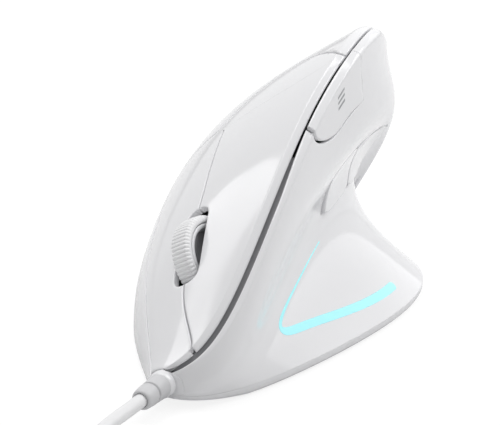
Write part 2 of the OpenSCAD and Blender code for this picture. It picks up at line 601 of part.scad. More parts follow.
module sensor_lens() {
  color([0.85, 0.92, 0.95]) union() {
    block([sensor_at[0] - sensor_size[0]/2, sensor_at[1] - sensor_size[1]/2, base_top],
      [sensor_at[0] + sensor_size[0]/2, sensor_at[1] + sensor_size[1]/2, main_z - 0.1]);
    translate([sensor_at[0], sensor_at[1], 0]) rod(2, base_top - 1, base_top + eps);
  }
}
module cable_socket() {
  z = main_z + board_t;
  color(shade) block([each socket_at - socket_half, z], [each socket_at + socket_half, z + socket_h]);
}
module light_board() {
  color(board_green) block([light_board_at[0], light_board_at[1], base_top],
    [light_board_at[0] + light_board_size[0], light_board_at[1] + light_board_size[1], base_top + 1]);
}
module light_lamp() {
  c = light_board_at + light_board_size/2;
  color([0.95, 0.97, 0.9]) block([c[0] - 2, c[1] - 2, base_top + 1], [c[0] + 2, c[1] + 2, base_top + 2.6]);
}

// Wheel and what carries it
module along_axle() { key_place() translate([0, 0, axle_z]) rotate([0, 90, 0]) children(); }
module wheel_hub() {
  color(shade) along_axle() difference() {
    rod(hub_r - touch, -hub_w/2, hub_w/2);
    rod(axle_r + touch, -hub_w, hub_w);
    for (s = [-1, 1]) translate([0, 0, s*hub_w/2]) difference() {
      rod(hub_r - 1.6, -1.2, 1.2);
      rod(axle_r + 1.4, -2, 2);
    }
  }
}
tyre_ribs = 30;
rib_groove_r = 0.45;
module wheel_tyre() {
  color(white) along_axle() difference() {
    rotate_extrude($fn = 96) translate([hub_r, 0]) union() {
      translate([0, -tyre_w/2 + 0.8]) square([tyre_t, tyre_w - 1.6]);
      translate([0, -tyre_w/2]) square([tyre_t - 0.8, tyre_w]);
    }
    for (k = [0:tyre_ribs - 1]) rotate([0, 0, 360*k/tyre_ribs]) translate([wheel_r + 0.1, 0, 0])
      rod(rib_groove_r, -tyre_w, tyre_w);
  }
}
module wheel_axle() { color(steel) along_axle() rod(axle_r, -axle_half, axle_half); }
module wheel_cradle() {
  low = axle_z - press_travel - 0.1;
  notch_r = axle_r + 0.1;
  color(dark) key_place() for (s = [-1, 1]) translate([s*(cheek_x + cheek_t/2), 0, 0]) difference() {
    block([-cheek_t/2, -cheek_half, board_z], [cheek_t/2, cheek_half, axle_z + cheek_top]);
    translate([0, 0, low]) rotate([0, 90, 0]) rod(notch_r, -cheek_t, cheek_t);
    block([-cheek_t, -notch_r, low], [cheek_t, notch_r, axle_z + 2*cheek_top]);
  }
}
module wheel_encoder() {
  x1 = -cheek_x - cheek_t - 0.4;
  color(board_green) difference() {
    key_place() block([x1 - 3.4, -3.6, board_z], [x1, 3.6, axle_z + 3.4]);
    along_axle() rod(axle_r + press_travel + 0.2, -axle_half - 3, 0);
  }
}
module tact_body() {
  color(dark) difference() {
    block([-switch_w/2, -switch_w/2, 0], [switch_w/2, switch_w/2, switch_h]);
    rod(plunger_r + 0.25, switch_h - hole_depth, switch_h + 1);
  }
}
module tact_plunger(travel = press_travel) {
  color(shade) rod(plunger_r, switch_h - hole_depth + travel + clear, switch_h + plunger_out);
}
module on_key_board(q) { key_place() translate([q[0], q[1], board_z]) children(); }
middle_lift = axle_z - axle_r - touch - (switch_h + plunger_out) - board_z;
module left_switch() { on_key_board(left_nub) tact_body(); }
module left_plunger() { on_key_board(left_nub) tact_plunger(); }
module right_switch() { on_key_board(right_nub) tact_body(); }
module right_plunger() { on_key_board(right_nub) tact_plunger(); }
module middle_switch() {
  on_key_board(middle_q) union() {
    translate([0, 0, middle_lift]) tact_body();
    color(dark) block([-switch_w/2, -switch_w/2, 0], [switch_w/2, switch_w/2, middle_lift + eps]);
  }
}
module middle_plunger() { on_key_board(middle_q) translate([0, 0, middle_lift]) tact_plunger(); }
module dpi_switch() { on_upright(dpi_board_x, dpi_spot) tact_body(); }
module dpi_plunger() { on_upright(dpi_board_x, dpi_spot) tact_plunger(dpi_travel); }
module forward_switch() { on_upright(thumb_board_x, thumb_spot[0]) tact_body(); }
module forward_plunger() { on_upright(thumb_board_x, thumb_spot[0]) tact_plunger(); }
module back_switch() { on_upright(thumb_board_x, thumb_spot[1]) tact_body(); }
module back_plunger() { on_upright(thumb_board_x, thumb_spot[1]) tact_plunger(); }

// Cord, from the socket inside to the plug
shank_r = cord_r + 0.3;
boot_r = 3;
boot_root_len = collar_t + 1.1;
boot_bore = cord_r + touch;
module boot_place() { translate(boot_root) rotate([90, 0, -boot_yaw]) children(); }
module strain_relief() {
  color(shade) boot_place() difference() {
    union() {
      rod(shank_r + 0.1, -boot_root_len, -collar_t - 0.4);
      rod(shank_r, -collar_t - 1, 1);
      translate([0, 0, 0.5]) cylinder(r1 = boot_r, r2 = boot_r - 0.2, h = boot_len*0.45);
      rod(boot_r - 0.6, 0.5, boot_len - 1);
      translate([0, 0, 0.5 + boot_len*0.53])
        cylinder(r1 = boot_r - 0.2, r2 = boot_r - 0.5, h = boot_len*0.47 - 0.5);
    }
    rod(boot_bore, -boot_root_len - 1, boot_len + 1);
  }
}
module inner_lead() { color(dark) tube(smooth_path(inner_points, 24), inner_lead_r, 8); }
module cable_lead() { color(white) tube(smooth_path(lead_points, 18), cord_r, 8); }
module cable_coil() { color(white) tube(coil_path, cord_r, 6); }
module cable_tail() { color(white) tube(smooth_path(tail_points, 14), cord_r, 8); }
tie_w = 5;
tie_t = 0.8;
module cable_tie() {
  y0 = coil_at[1] + coil_r - cord_r - 0.6;
  y1 = coil_at[1] + coil_out + cord_r + 0.3;
  z1 = coil_top + cord_r + 0.3;
  color(dark) difference() {
    block([coil_at[0] - tie_w/2, y0 - tie_t, 0], [coil_at[0] + tie_w/2, y1 + tie_t, z1 + tie_t]);
    block([coil_at[0] - tie_w, y0, tie_t], [coil_at[0] + tie_w, y1, z1]);
  }
}
grip_w = 11.4;
usb_w = 12;
usb_h = 4.5;
usb_len = 12;
usb_wall = 0.3;
usb_root = 6;
module at_plug() { translate([tail_x, plug_y, plug_z]) children(); }
module plug_grip() {
  color(white) at_plug() difference() {
    union() {
      block([-grip_w/2, 3, -plug_z], [grip_w/2, grip_len, plug_z]);
      rotate([-90, 0, 0]) rod(cord_r + 0.8, 0, 4);
    }
    block([-usb_w/2 - touch, grip_len - usb_root, -usb_h/2 - touch],
      [usb_w/2 + touch, grip_len + 1, usb_h/2 + touch]);
  }
}
module plug_shell() {
  color(steel) at_plug() difference() {
    block([-usb_w/2, grip_len - usb_root + touch, -usb_h/2], [usb_w/2, grip_len + usb_len, usb_h/2]);
    block([-usb_w/2 + usb_wall, grip_len - usb_root, -usb_h/2 + usb_wall],
      [usb_w/2 - usb_wall, grip_len + usb_len + 1, usb_h/2 - usb_wall]);
  }
}
tongue_t = 1.8;
module plug_tongue() {
  x = usb_w/2 - usb_wall - touch;
  z = -usb_h/2 + usb_wall;
  color(dark) at_plug() block([-x, grip_len - usb_root + touch, z + touch],
    [x, grip_len + usb_len - 0.5, z + tongue_t]);
}
module plug_contacts() {
  z = -usb_h/2 + usb_wall + tongue_t;
  color([0.85, 0.68, 0.3]) at_plug() for (x = [-3.5, -1, 1, 3.5])
    block([x - 0.5, grip_len + 2, z], [x + 0.5, grip_len + usb_len - 1, z + 0.2]);
}

base_plate();
glide_feet();
case_screws();
thumb_shell();
finger_shell();
key_panel();
left_key();
right_key();
crest_strip();
nose_collar();
dpi_button();
forward_button();
back_button();
light_guide();
inner_frame();
key_board();
thumb_board();
dpi_board();
main_board();
light_board();
light_lamp();
sensor_chip();
sensor_lens();
cable_socket();
board_screws();
wheel_hub();
wheel_tyre();
wheel_axle();
wheel_cradle();
wheel_encoder();
left_switch();
left_plunger();
right_switch();
right_plunger();
middle_switch();
middle_plunger();
dpi_switch();
dpi_plunger();
forward_switch();
forward_plunger();
back_switch();
back_plunger();
inner_lead();
strain_relief();
cable_lead();
cable_coil();
cable_tie();
cable_tail();
plug_grip();
plug_shell();
plug_tongue();
plug_contacts();
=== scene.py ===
"""Looks of a white right-handed vertical mouse with a cord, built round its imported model.

Sizes inside the shape functions are in millimetres and meshes are in metres.
-Y is the nose where the cord leaves, +X the thumb side and +Z up.
"""
import json

import bmesh
import bpy
import numpy as np
from bpy.props import FloatProperty, FloatVectorProperty, IntProperty, PointerProperty
from mathutils import Matrix, Vector
from mathutils.geometry import delaunay_2d_cdt


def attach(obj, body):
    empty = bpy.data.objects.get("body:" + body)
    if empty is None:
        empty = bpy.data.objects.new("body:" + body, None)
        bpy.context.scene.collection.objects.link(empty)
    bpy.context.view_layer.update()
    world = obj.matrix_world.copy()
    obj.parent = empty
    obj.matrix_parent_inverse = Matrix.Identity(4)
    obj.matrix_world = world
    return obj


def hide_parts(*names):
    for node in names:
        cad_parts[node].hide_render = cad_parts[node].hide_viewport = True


bl_info = {
    "name": "Vertical mouse",
    "version": (1, 0, 0),
    "blender": (4, 5, 0),
    "location": "View3D > Sidebar > Mouse",
    "description": "Dresses a white vertical mouse: shells, keys, wheel, light hook, cord and stage",
    "category": "Object",
}

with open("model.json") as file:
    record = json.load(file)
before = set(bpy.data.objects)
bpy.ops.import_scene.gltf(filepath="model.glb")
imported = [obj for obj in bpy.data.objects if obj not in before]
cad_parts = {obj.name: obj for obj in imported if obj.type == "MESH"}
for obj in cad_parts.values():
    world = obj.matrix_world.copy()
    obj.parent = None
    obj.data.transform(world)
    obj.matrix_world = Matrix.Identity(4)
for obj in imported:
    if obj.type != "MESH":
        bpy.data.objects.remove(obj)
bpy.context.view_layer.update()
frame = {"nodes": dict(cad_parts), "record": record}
NODES = frame["nodes"]
MM = 0.001
PHOTO = (500, 425)
WHITE = (1, 1, 1, 1)


def linear(code):
    """sRGB hex to linear RGB: below 0.04045 a straight line, above it the 2.4 power curve."""
    c = np.array([int(code[i:i + 2], 16) for i in (1, 3, 5)])/255
    return tuple(np.where(c <= 0.04045, c/12.92, ((c + 0.055)/1.055)**2.4).tolist())


# Body stations from nose to back, the same as the model's
BODY_L, SHELL_Z, TILT = 120.0, 3.0, np.radians(10)
FINGER_X = [-7.4, -8, -15.5, -26.5, -32.5, -35, -31.5, -20.5, 4]
THUMB_X = [-1.5, 6.8, 15, 23, 30.5, 35.5, 34, 20.5, 4.4]
CREST_X = [-5.5, 2.5, 6, 7.5, 8.5, 12, 11.5, 8.5, 4]
CREST_Z = [5, 11, 23, 42, 59.5, 70.5, 69, 44.5, 14]
CREST_W = [2.5, 4.5, 5, 5, 5, 5, 5, 4, 0.5]
FINGER_SLOPE = [31, 34, 38, 41, 44, 40, 34, 30, 78]
FINGER_LEAN = [6, 5, 3, 3, 5, 9, 10, 10, 0]
THUMB_K = [0.12, 0.3, 0.48, 0.66, 0.84]
THUMB_OFF = [
    [2, 1, 0.5, 0, -1, -1.5, -0.5, -1, 0], [2, 1.5, 1, -2, -3, -1.5, 1.5, 3, 0],
    [2.2, 2.5, 0, -5.5, -9.5, -12.5, -12.5, -9.5, 0], [2.2, 2, -0.5, -8.5, -15.5, -19, -18.5, -12, 0],
    [2.4, 2, -1, -6, -10, -12.5, -14, -12, 0]]
NOSE_BACK = 1.5
FINGER, THUMB = 1, -1

# Seams
SEAM, BEVEL = 0.35, 0.42
NOSE_U, FINGER_NOSE_U, TIP_U, HINGE_U = 0.008, 0.085, 0.119, 0.57
KEY_U, KEY_SLANT, TIP_SLANT, TIP_ROOM, TIP_RUN = 0.02, 0.08, 0.008, 0.005, 45.0
SLIT_U, SLOT_U, WHEEL_V = 0.115, (0.285, 0.41), 0.4
DPI_U, DPI_W, DPI_ROUND, DPI_LEAN = (0.4572, 0.6), 0.222, 0.53, 0.003
BAR_U, BAR_V, BAR_W, BAR_PITCH = (0.527, 0.546), 0.05, 0.013, 0.03
THUMB_US, THUMB_BAND = (0.558, 0.665, 0.8), 0.19
HINGE_SEAM = 0.04

# Frame of the keys and the wheel
KEY_X = np.array([0.825929, -0.145634, 0.544639])
KEY_Z = np.array([-0.535996, -0.502342, 0.678499])
AXLE = np.array([-6.79252, -24.0244, 23.7583])
WHEEL_R, TYRE_W, TYRE_T, SLOT_ROOM = 11.0, 5.6, 2.2, 1.1

# Nose and the lip under the shells
NOSE_RISE, RISE_Y, LIP_DROP, CHEEK_U, CHEEK_GAP = 1.5, -45.0, 2.2, 0.003, 0.011

# Cord route
CORD_D = 3.4
BOOT_DIR = np.array([-np.sin(np.radians(7)), -np.cos(np.radians(7)), 0])
BOOT_ROOT = np.array([-3.8, -60, 5.6])
BOOT_LEN = 10.0
COIL_AT, COIL_R, COIL_LOOPS, COIL_LAYERS = np.array([-32, -140]), 13.0, 2.875, 4
COIL_PITCH, COIL_Z = CORD_D + 0.5, CORD_D/2 + 1.1
COIL_OUT = COIL_R + COIL_LOOPS*COIL_PITCH
COIL_TOP = COIL_Z + (COIL_LAYERS - 1)*COIL_PITCH
LEAD_X, TAIL_X = COIL_AT[0] + COIL_OUT, COIL_AT[0] - COIL_OUT
PLUG_Y, PLUG_Z, GRIP_L = -96, 4, 24
LEAD_POINTS = [*(BOOT_ROOT + d*BOOT_DIR for d in (3, BOOT_LEN, BOOT_LEN + 6)),
               [-7, -90, 6.6], [-8, -104, 4.2],
               *([LEAD_X, y, COIL_Z] for y in (-118, -124, -130, COIL_AT[1] + CORD_D))]
TAIL_POINTS = [*([TAIL_X, y, COIL_TOP] for y in (COIL_AT[1] + CORD_D, -133, -129)),
               [TAIL_X, -122, 11.5], [TAIL_X, -114, 6.5],
               *([TAIL_X, y, PLUG_Z] for y in (-107, -103, -100, PLUG_Y))]


class MouseSizes(bpy.types.PropertyGroup):
    """Sizes that a user would change."""
    edge: FloatProperty(
        name="Edge radius", description="Rounding of the covers' edges, in mm",
        default=0.45, min=0.1, max=0.8)
    grain: FloatProperty(
        name="Surface step", description="Distance between a cover's points, in mm",
        default=1.0, min=0.6, max=3)
    ribs: IntProperty(name="Tyre ribs", description="Ribs round the wheel's tyre", default=64, min=20, max=90)
    hook_proud: FloatProperty(
        name="Light height", description="How far the light hook stands out, in mm",
        default=0.08, min=0, max=0.3)


def colour(label, code):
    """A colour property whose default is an sRGB hex value."""
    return FloatVectorProperty(name=label, description=label + " colour", subtype="COLOR", size=3,
                               min=0, max=1, default=linear(code))


class MouseColours(bpy.types.PropertyGroup):
    """Colours that a user would change."""
    abs_white: colour("White ABS", "#E8E8EA")
    abs_base: colour("Base ABS", "#E4E4E7")
    groove: colour("Groove", "#949497")
    light: colour("Light hook", "#A6F3FA")
    tyre: colour("Tyre", "#F0F0F1")
    hub: colour("Hub", "#A2A2A5")
    jacket: colour("Cord jacket", "#E4E4E5")
    boot: colour("Strain relief", "#C9C9CB")


def power(label, lamp, watts):
    """A lamp's power as a property."""
    return FloatProperty(name=label, description="Power of the " + lamp, default=watts, min=0, max=100,
                         unit="POWER")


class MouseStage(bpy.types.PropertyGroup):
    """Light of the stage."""
    key_power: power("Key light", "large soft box", 4.2)
    side_power: power("Side light", "thumb side soft box", 1.0)
    rear_power: power("Rear light", "soft box above the thumb side", 3.2)
    left_power: power("Left light", "finger side strip box", 0.18)
    fill: FloatProperty(
        name="Fill", description="Strength of the light from all round", default=0.42, min=0, max=2)


# Curves and the body's skin

def spline(p, t):
    """Uniform cubic B-spline over the values p, with both ends mirrored so that it starts and ends on them.

    Where p has a column for each value of t, each value takes its own.
    """
    p, t = np.asarray(p, float), np.asarray(t, float)
    n = len(p) - 1
    e = np.concatenate([2*p[:1] - p[1:2], p, 2*p[-1:] - p[-2:-1]])
    x = np.clip(t, 0, 1)*n
    i = np.minimum(x.astype(int), n - 1)
    f = x - i
    f = f if p.ndim == 1 else f[:, None]
    own = (np.arange(len(t)),) if p.ndim == 3 else ()
    a, b, c, d = (e[(i + k, *own)] for k in range(4))
    return ((1 - f)**3*a + (3*f**3 - 6*f*f + 4)*b + (3*f + 3*f*f - 3*f**3 + 1)*c + f**3*d)/6


def ease(t):
    """Smooth step: 3t^2 - 2t^3 between 0 and 1."""
    t = np.clip(t, 0, 1)
    return t*t*(3 - 2*t)


def unit(a):
    """Vectors over their lengths."""
    return a/np.maximum(np.linalg.norm(a, axis=-1, keepdims=True), 1e-9)


def crest(u):
    """The flat along the crest: its finger edge and its thumb edge as (x, z)."""
    a = np.stack([spline(CREST_X, u), SHELL_Z + spline(CREST_Z, u)], -1)
    return a, a + spline(CREST_W, u)[:, None]*np.array([np.cos(TILT), -np.sin(TILT)])


def lift(u, q):
    """A section's (x, z) at its place along the body: y is half a cosine wave, with the nose drawn back."""
    y = NOSE_BACK*(1 - ease(u/0.3)) - BODY_L/2*np.cos(np.pi*u)
    return np.stack([q[:, 0], y, q[:, 1]], -1)


def eased_corner(u, s, run, flat, corner, curve):
    """A section's corner rounded by a quadratic Bezier over a reach in mm each way, longer behind.

    s is the way along the section from the corner in mm, run the mm per unit of the curved side.
    """
    reach = 0.3 + 1.5*ease((u - 0.55)/0.12)
    t = np.clip(s/reach/2 + 0.5, 0, 1)[:, None]
    return (np.abs(s) < reach)[:, None], (1 - t)**2*flat(-reach) + 2*t*(1 - t)*corner + t*t*curve(reach/run)


def finger_at(u, v):
    """Finger side: a cubic Bezier from crest (v 0) to base (v 1), and the crest's flat where v is below 0."""
    a, b = crest(u)
    foot = np.stack([spline(FINGER_X, u), np.full_like(u, SHELL_Z)], -1)
    d = np.linalg.norm(a - foot, axis=1)[:, None]
    slope, lean = np.radians(spline(FINGER_SLOPE, u)), np.radians(spline(FINGER_LEAN, u))
    h1 = a - 0.38*d*np.stack([np.cos(slope), np.sin(slope)], -1)
    h2 = foot + 0.4*d*np.stack([-np.sin(lean), np.cos(lean)], -1)

    def curve(t):
        t = t[:, None]
        return (1 - t)**3*a + 3*t*(1 - t)**2*h1 + 3*t*t*(1 - t)*h2 + t**3*foot

    def flat(d):
        return a - (d/wide)[:, None]*(b - a)

    wide, run = spline(CREST_W, u), 1.14*d[:, 0]
    s = np.where(v < 0, wide, run)*v
    near, soft = eased_corner(u, s, run, flat, a, curve)
    return lift(u, np.where(near, soft, np.where(v[:, None] < 0, flat(s), curve(np.maximum(v, 0)))))


def thumb_at(u, w):
    """Thumb side: a B-spline through places between crest and base, each swollen or sunk by its stations."""
    a, b = crest(u)
    foot = np.stack([spline(THUMB_X, u), np.full_like(u, SHELL_Z)], -1)
    rows = [b + (foot - b)*k + np.stack([spline(o, u), 0*u], -1) for k, o in zip(THUMB_K, THUMB_OFF)]
    places = np.stack([b, *rows, foot])

    def curve(t):
        return spline(places, t)

    def flat(d):
        return b + (d/wide)[:, None]*(b - a)

    wide, run = spline(CREST_W, u), 6*np.linalg.norm(rows[0] - b, axis=1)
    s = np.where(w < 0, wide, run)*w
    near, soft = eased_corner(u, s, run, flat, b, curve)
    return lift(u, np.where(near, soft, np.where(w[:, None] < 0, flat(s), curve(np.maximum(w, 0)))))


def skin(side, u, v):
    """Point of the body's skin."""
    return finger_at(u, v) if side == FINGER else thumb_at(u, v)


def skin_frame(side, u, v):
    """Outward normal and millimetres per unit of u and of v, from central differences."""
    e = 0.004
    du = skin(side, np.minimum(u + e, 1), v) - skin(side, np.maximum(u - e, 0), v)
    dv = skin(side, u, np.minimum(v + e, 1)) - skin(side, u, v - e)
    return (unit(np.cross(du, dv))*side, np.linalg.norm(du, axis=1)/(2*e), np.linalg.norm(dv, axis=1)/(2*e))


def groove(u):
    """Width of the groove along the crest: it thins past the wheel and with the crest's flat."""
    wide = 1.3 - 0.75*ease((u - 0.36)/0.1)
    return wide*np.minimum(1, np.where(u < 0.5, 0.35, 0) + spline(CREST_W, u)/5)


def thumb_edge(u):
    """Place of the thumb shell's edge beside the groove, on the crest's flat."""
    return -(1 - BEVEL - groove(u)/spline(CREST_W, u))


def slit_v(u):
    """Slit between the two keys: a power curve up from the nose, straight past the wheel."""
    front = WHEEL_V*(1 - (np.maximum(0, SLOT_U[0] - u)/(SLOT_U[0] - SLIT_U))**1.8)
    tip = -BEVEL*np.minimum(1, (SLIT_U - u)/TIP_SLANT)
    rear = WHEEL_V + 0.2*np.maximum(0, u - SLOT_U[1] - 0.03)
    return np.where(u < SLIT_U, tip, np.where(u < SLOT_U[0], front, rear))


def slit_half(u):
    """Half the slit's width, which swells to the wheel's slot as a superellipse of power 8."""
    c, h = sum(SLOT_U)/2, (SLOT_U[1] - SLOT_U[0])/2
    t = np.minimum(1, np.abs(u - c)/h)
    return np.maximum(SEAM/2, (TYRE_W/2 + SLOT_ROOM)*np.sqrt(1 - t**8))


def slit_edge(u, way):
    """One edge of the slit, half its width up or down the slope."""
    v = slit_v(u)
    run = skin_frame(FINGER, u, np.maximum(v, 0.05))[2]
    return v + way*slit_half(u)/run


def crease_v(u):
    """Crease under the right key."""
    return 0.835 - 0.25*u


def seam_u(v):
    """Seam behind the key panel, bowed backwards by half a sine wave."""
    return 0.585 + 0.072*np.sin(np.pi*np.clip(v, 0, 0.46)/0.46)


def off_v(side, u, v, gap):
    """A gap in mm as a step of v."""
    return gap/skin_frame(side, u, v)[2]


def off_u(side, u, v, gap):
    """A gap in mm as a step of u."""
    return gap/skin_frame(side, u, v)[1]


# Meshes

def put_mesh(name, points, faces):
    """A mesh object at the origin from points in mm."""
    mesh = bpy.data.meshes.new(name)
    mesh.from_pydata((np.asarray(points)*MM).tolist(), [], [list(f) for f in faces])
    mesh.polygons.foreach_set("use_smooth", np.full(len(mesh.polygons), True))
    mesh.set_sharp_from_angle(angle=np.radians(50))
    mesh.update()
    obj = bpy.data.objects.new(name, mesh)
    bpy.context.scene.collection.objects.link(obj)
    return obj


def lofted(name, rings, closed=False):
    """A form through rings of points: joined round where closed, or with a flat cap at either end.

    Doubles are merged and every face is turned outwards.
    """
    n, m = rings.shape[:2]
    i, j = np.arange(n if closed else n - 1)[:, None], np.arange(m)[None]
    i1, j1 = (i + 1) % n, (j + 1) % m
    faces = np.stack([i*m + j, i1*m + j, i1*m + j1, i*m + j1], -1).reshape(-1, 4).tolist()
    caps = [] if closed else [list(range(m)), list(range((n - 1)*m, n*m))]
    obj = put_mesh(name, rings.reshape(-1, 3), faces + caps)
    bm = bmesh.new()
    bm.from_mesh(obj.data)
    bmesh.ops.remove_doubles(bm, verts=bm.verts, dist=1e-7)
    bmesh.ops.recalc_face_normals(bm, faces=bm.faces)
    bm.to_mesh(obj.data)
    bm.free()
    return obj


def inside(points, loop):
    """Even-odd test of points against a closed loop, all at once."""
    a, b = loop, np.roll(loop, -1, 0)
    x, y = points[:, :1], points[:, 1:2]
    with np.errstate(divide="ignore", invalid="ignore"):
        cut = a[:, 0] + (y - a[:, 1])*(b[:, 0] - a[:, 0])/(b[:, 1] - a[:, 1])
    return (((a[:, 1] > y) != (b[:, 1] > y)) & (x < cut)).sum(1) % 2 == 1


def nearest(points, marks):
    """Distance from each point to the nearest mark, in blocks of points."""
    return np.concatenate([np.sqrt(((p[:, None] - marks[None])**2).sum(-1)).min(1)
                           for p in np.array_split(points, max(1, len(points)//400))])


def border(*parts):
    """A closed border from parts (u, v, edge radius), each an array or one value along the part."""
    even = (np.broadcast_arrays(*(np.asarray(x, float) for x in p)) for p in parts)
    loop = np.concatenate([np.stack(p, -1).reshape(-1, 3) for p in even])
    keep = np.linalg.norm(loop - np.roll(loop, 1, 0), axis=1) > 1e-7
    return loop[keep]


LAYOUT = np.array([165.0, 58.0])


def cover(name, side, loop, holes=(), proud=0.0, wall=1.3, lines=(), step=None):
    """A closed cover cut out of the skin: a triangulation of (u, v) inside the loop, laid on the skin.

    Near a border of radius r, at distance d, it sinks r - sqrt(r^2 - (r - d)^2), a round edge.
    proud is a height over the skin and wall a thickness under it, each a number or a function of (u, v).
    """
    step = step or bpy.context.scene.mouse_sizes.grain
    loops = [loop, *holes]
    marks = np.concatenate(loops)
    on_skin = skin(side, marks[:, 0], marks[:, 1])
    _, ru, rv = skin_frame(side, marks[:, 0], marks[:, 1])
    rows = []
    for k, q in enumerate(loops):
        ahead = (np.roll(q, -1, 0) - np.roll(q, 1, 0))[:, :2]
        at = slice(sum(len(x) for x in loops[:k]), sum(len(x) for x in loops[:k + 1]))
        mm = np.stack([ahead[:, 0]*ru[at], ahead[:, 1]*rv[at]], -1)
        way = unit(np.stack([-mm[:, 1], mm[:, 0]], -1))
        turn = np.sign(((q[:, 0] - np.roll(q[:, 0], -1))*(q[:, 1] + np.roll(q[:, 1], -1))).sum())
        way = way*turn*(1 if k == 0 else -1)
        for share in (0.12, 0.4, 1.0, 1.8):
            far = share*np.maximum(q[:, 2:], 0.2)
            rows.append(q[:, :2] + way*far/np.stack([ru[at], rv[at]], -1))
    low, high = loop[:, :2].min(0), loop[:, :2].max(0)
    side_u = np.linspace(low[0], high[0], 400)
    mid = skin(side, side_u, np.full(400, (low[1] + high[1])/2))
    length = np.concatenate([[0], np.cumsum(np.linalg.norm(np.diff(mid, axis=0), axis=1))])
    us = np.interp(np.arange(0, length[-1], step), length, side_u)
    vs = np.arange(low[1], high[1], step/LAYOUT[1])
    field = np.stack(np.meshgrid(us, vs), -1).reshape(-1, 2)
    field = np.concatenate([field, *lines]) if len(lines) else field
    near = nearest(skin(side, field[:, 0], field[:, 1]), on_skin)
    reach = np.maximum(0.55*step, 2.0*marks[:, 2].max())
    extra = np.concatenate(rows)
    extra = extra[nearest(skin(side, extra[:, 0], extra[:, 1]), on_skin) > 0.03]
    inner = np.concatenate([field[near > reach], extra])
    within = inside(inner, loop[:, :2])
    for h in holes:
        within &= ~inside(inner, h[:, :2])
    flat = np.concatenate([marks[:, :2], inner[within]])*LAYOUT
    starts = np.cumsum([0] + [len(q) for q in loops])
    edges = np.concatenate([np.stack([np.arange(len(q)), (np.arange(len(q)) + 1) % len(q)], -1) + s
                            for q, s in zip(loops, starts)])
    verts, _, tris, _, _, _ = delaunay_2d_cdt(list(map(Vector, flat.tolist())), edges.tolist(), [], 0, 1e-6)
    flat, tris = np.array(verts), np.array(tris)
    centre = flat[tris].mean(1)/LAYOUT
    kept = inside(centre, loop[:, :2])
    for h in holes:
        kept &= ~inside(centre, h[:, :2])
    tris = tris[kept] if side == FINGER else tris[kept][:, ::-1]
    used, tris = np.unique(tris, return_inverse=True)
    tris = tris.reshape(-1, 3)
    u, v = flat[used, 0]/LAYOUT[0], flat[used, 1]/LAYOUT[1]
    p, n = skin(side, u, v), skin_frame(side, u, v)[0]
    blocks = np.array_split(np.arange(len(p)), max(1, len(p)//400))
    d = [np.sqrt(((p[b][:, None] - on_skin[None])**2).sum(-1)) for b in blocks]
    r = marks[None, :, 2]
    sunk = np.concatenate([(r - np.sqrt(np.maximum(0, r*r - np.maximum(0, r - x)**2))).max(1) for x in d])
    rise = (proud(u, v) if callable(proud) else proud) - sunk
    back = p - (wall(u, v)[:, None] if callable(wall) else wall)*n
    back[:, 1] = np.minimum(back[:, 1], BODY_L/2 - 0.9)
    back[:, 2] = np.maximum(back[:, 2], SHELL_Z)
    pairs = tris[:, [[0, 1], [1, 2], [2, 0]]].reshape(-1, 2)
    _, which, count = np.unique(np.sort(pairs, 1), axis=0, return_inverse=True, return_counts=True)
    rim = pairs[count[which.ravel()] == 1]
    m = len(p)
    faces = tris.tolist() + (tris[:, ::-1] + m).tolist() + np.stack(
        [rim[:, 1], rim[:, 0], rim[:, 0] + m, rim[:, 1] + m], -1).tolist()
    return put_mesh(name, np.concatenate([p + rise[:, None]*n, back]), faces)


def tube(name, path, radius, sides=14):
    """A round tube: rings square to the path, with a cap at each end."""
    path = np.asarray(path, float)
    t = unit(np.gradient(path, axis=0))
    a = unit(np.cross(t, [0, 0, 1.0]))
    b = np.cross(a, t)
    turn = np.linspace(0, 2*np.pi, sides, endpoint=False)[None, :, None]
    return lofted(name, path[:, None] + radius*(a[:, None]*np.cos(turn) + b[:, None]*np.sin(turn)))


def turned(name, profile, origin, axis, ref, steps=96, ripple=None):
    """A closed profile of (along, radius) turned about an axis; ripple(angle, profile) changes the radii."""
    profile = np.asarray(profile, float)
    axis = unit(np.asarray(axis, float))
    ref = unit(ref - axis*(np.dot(ref, axis)))
    other = np.cross(axis, ref)
    turn = np.linspace(0, 2*np.pi, steps, endpoint=False)[:, None]
    r = np.broadcast_to(profile[None, :, 1], (steps, len(profile)))
    r = r if ripple is None else r - ripple(turn, profile)
    p = (origin + profile[None, :, 0, None]*axis
         + r[..., None]*(np.cos(turn)[..., None]*ref + np.sin(turn)[..., None]*other))
    return lofted(name, p, True)


def soft_profile(corners, cut=0.3, n=5):
    """A profile with every corner rounded in mm by quadratic arcs, the same reach on both sides."""
    c = np.asarray(corners, float)
    before, after = np.roll(c, 1, 0) - c, np.roll(c, -1, 0) - c
    p, q = (c + unit(d)*np.minimum(cut, 0.45*np.linalg.norm(d, axis=1))[:, None] for d in (before, after))
    t = np.linspace(0, 1, n)[None, :, None]
    return ((1 - t)**2*p[:, None] + 2*t*(1 - t)*c[:, None] + t*t*q[:, None]).reshape(-1, 2)


# Materials

def add(tree, kind, links=None, settings=None, **values):
    """One node: its settings, its input values and the sockets that feed it."""
    node = tree.nodes.new(kind)
    for key, value in (settings or {}).items():
        setattr(node, key, value)
    for key, value in values.items():
        node.inputs[key.replace("_", " ")].default_value = value
    for key, source in (links or {}).items():
        tree.links.new(source, node.inputs[key])
    return node


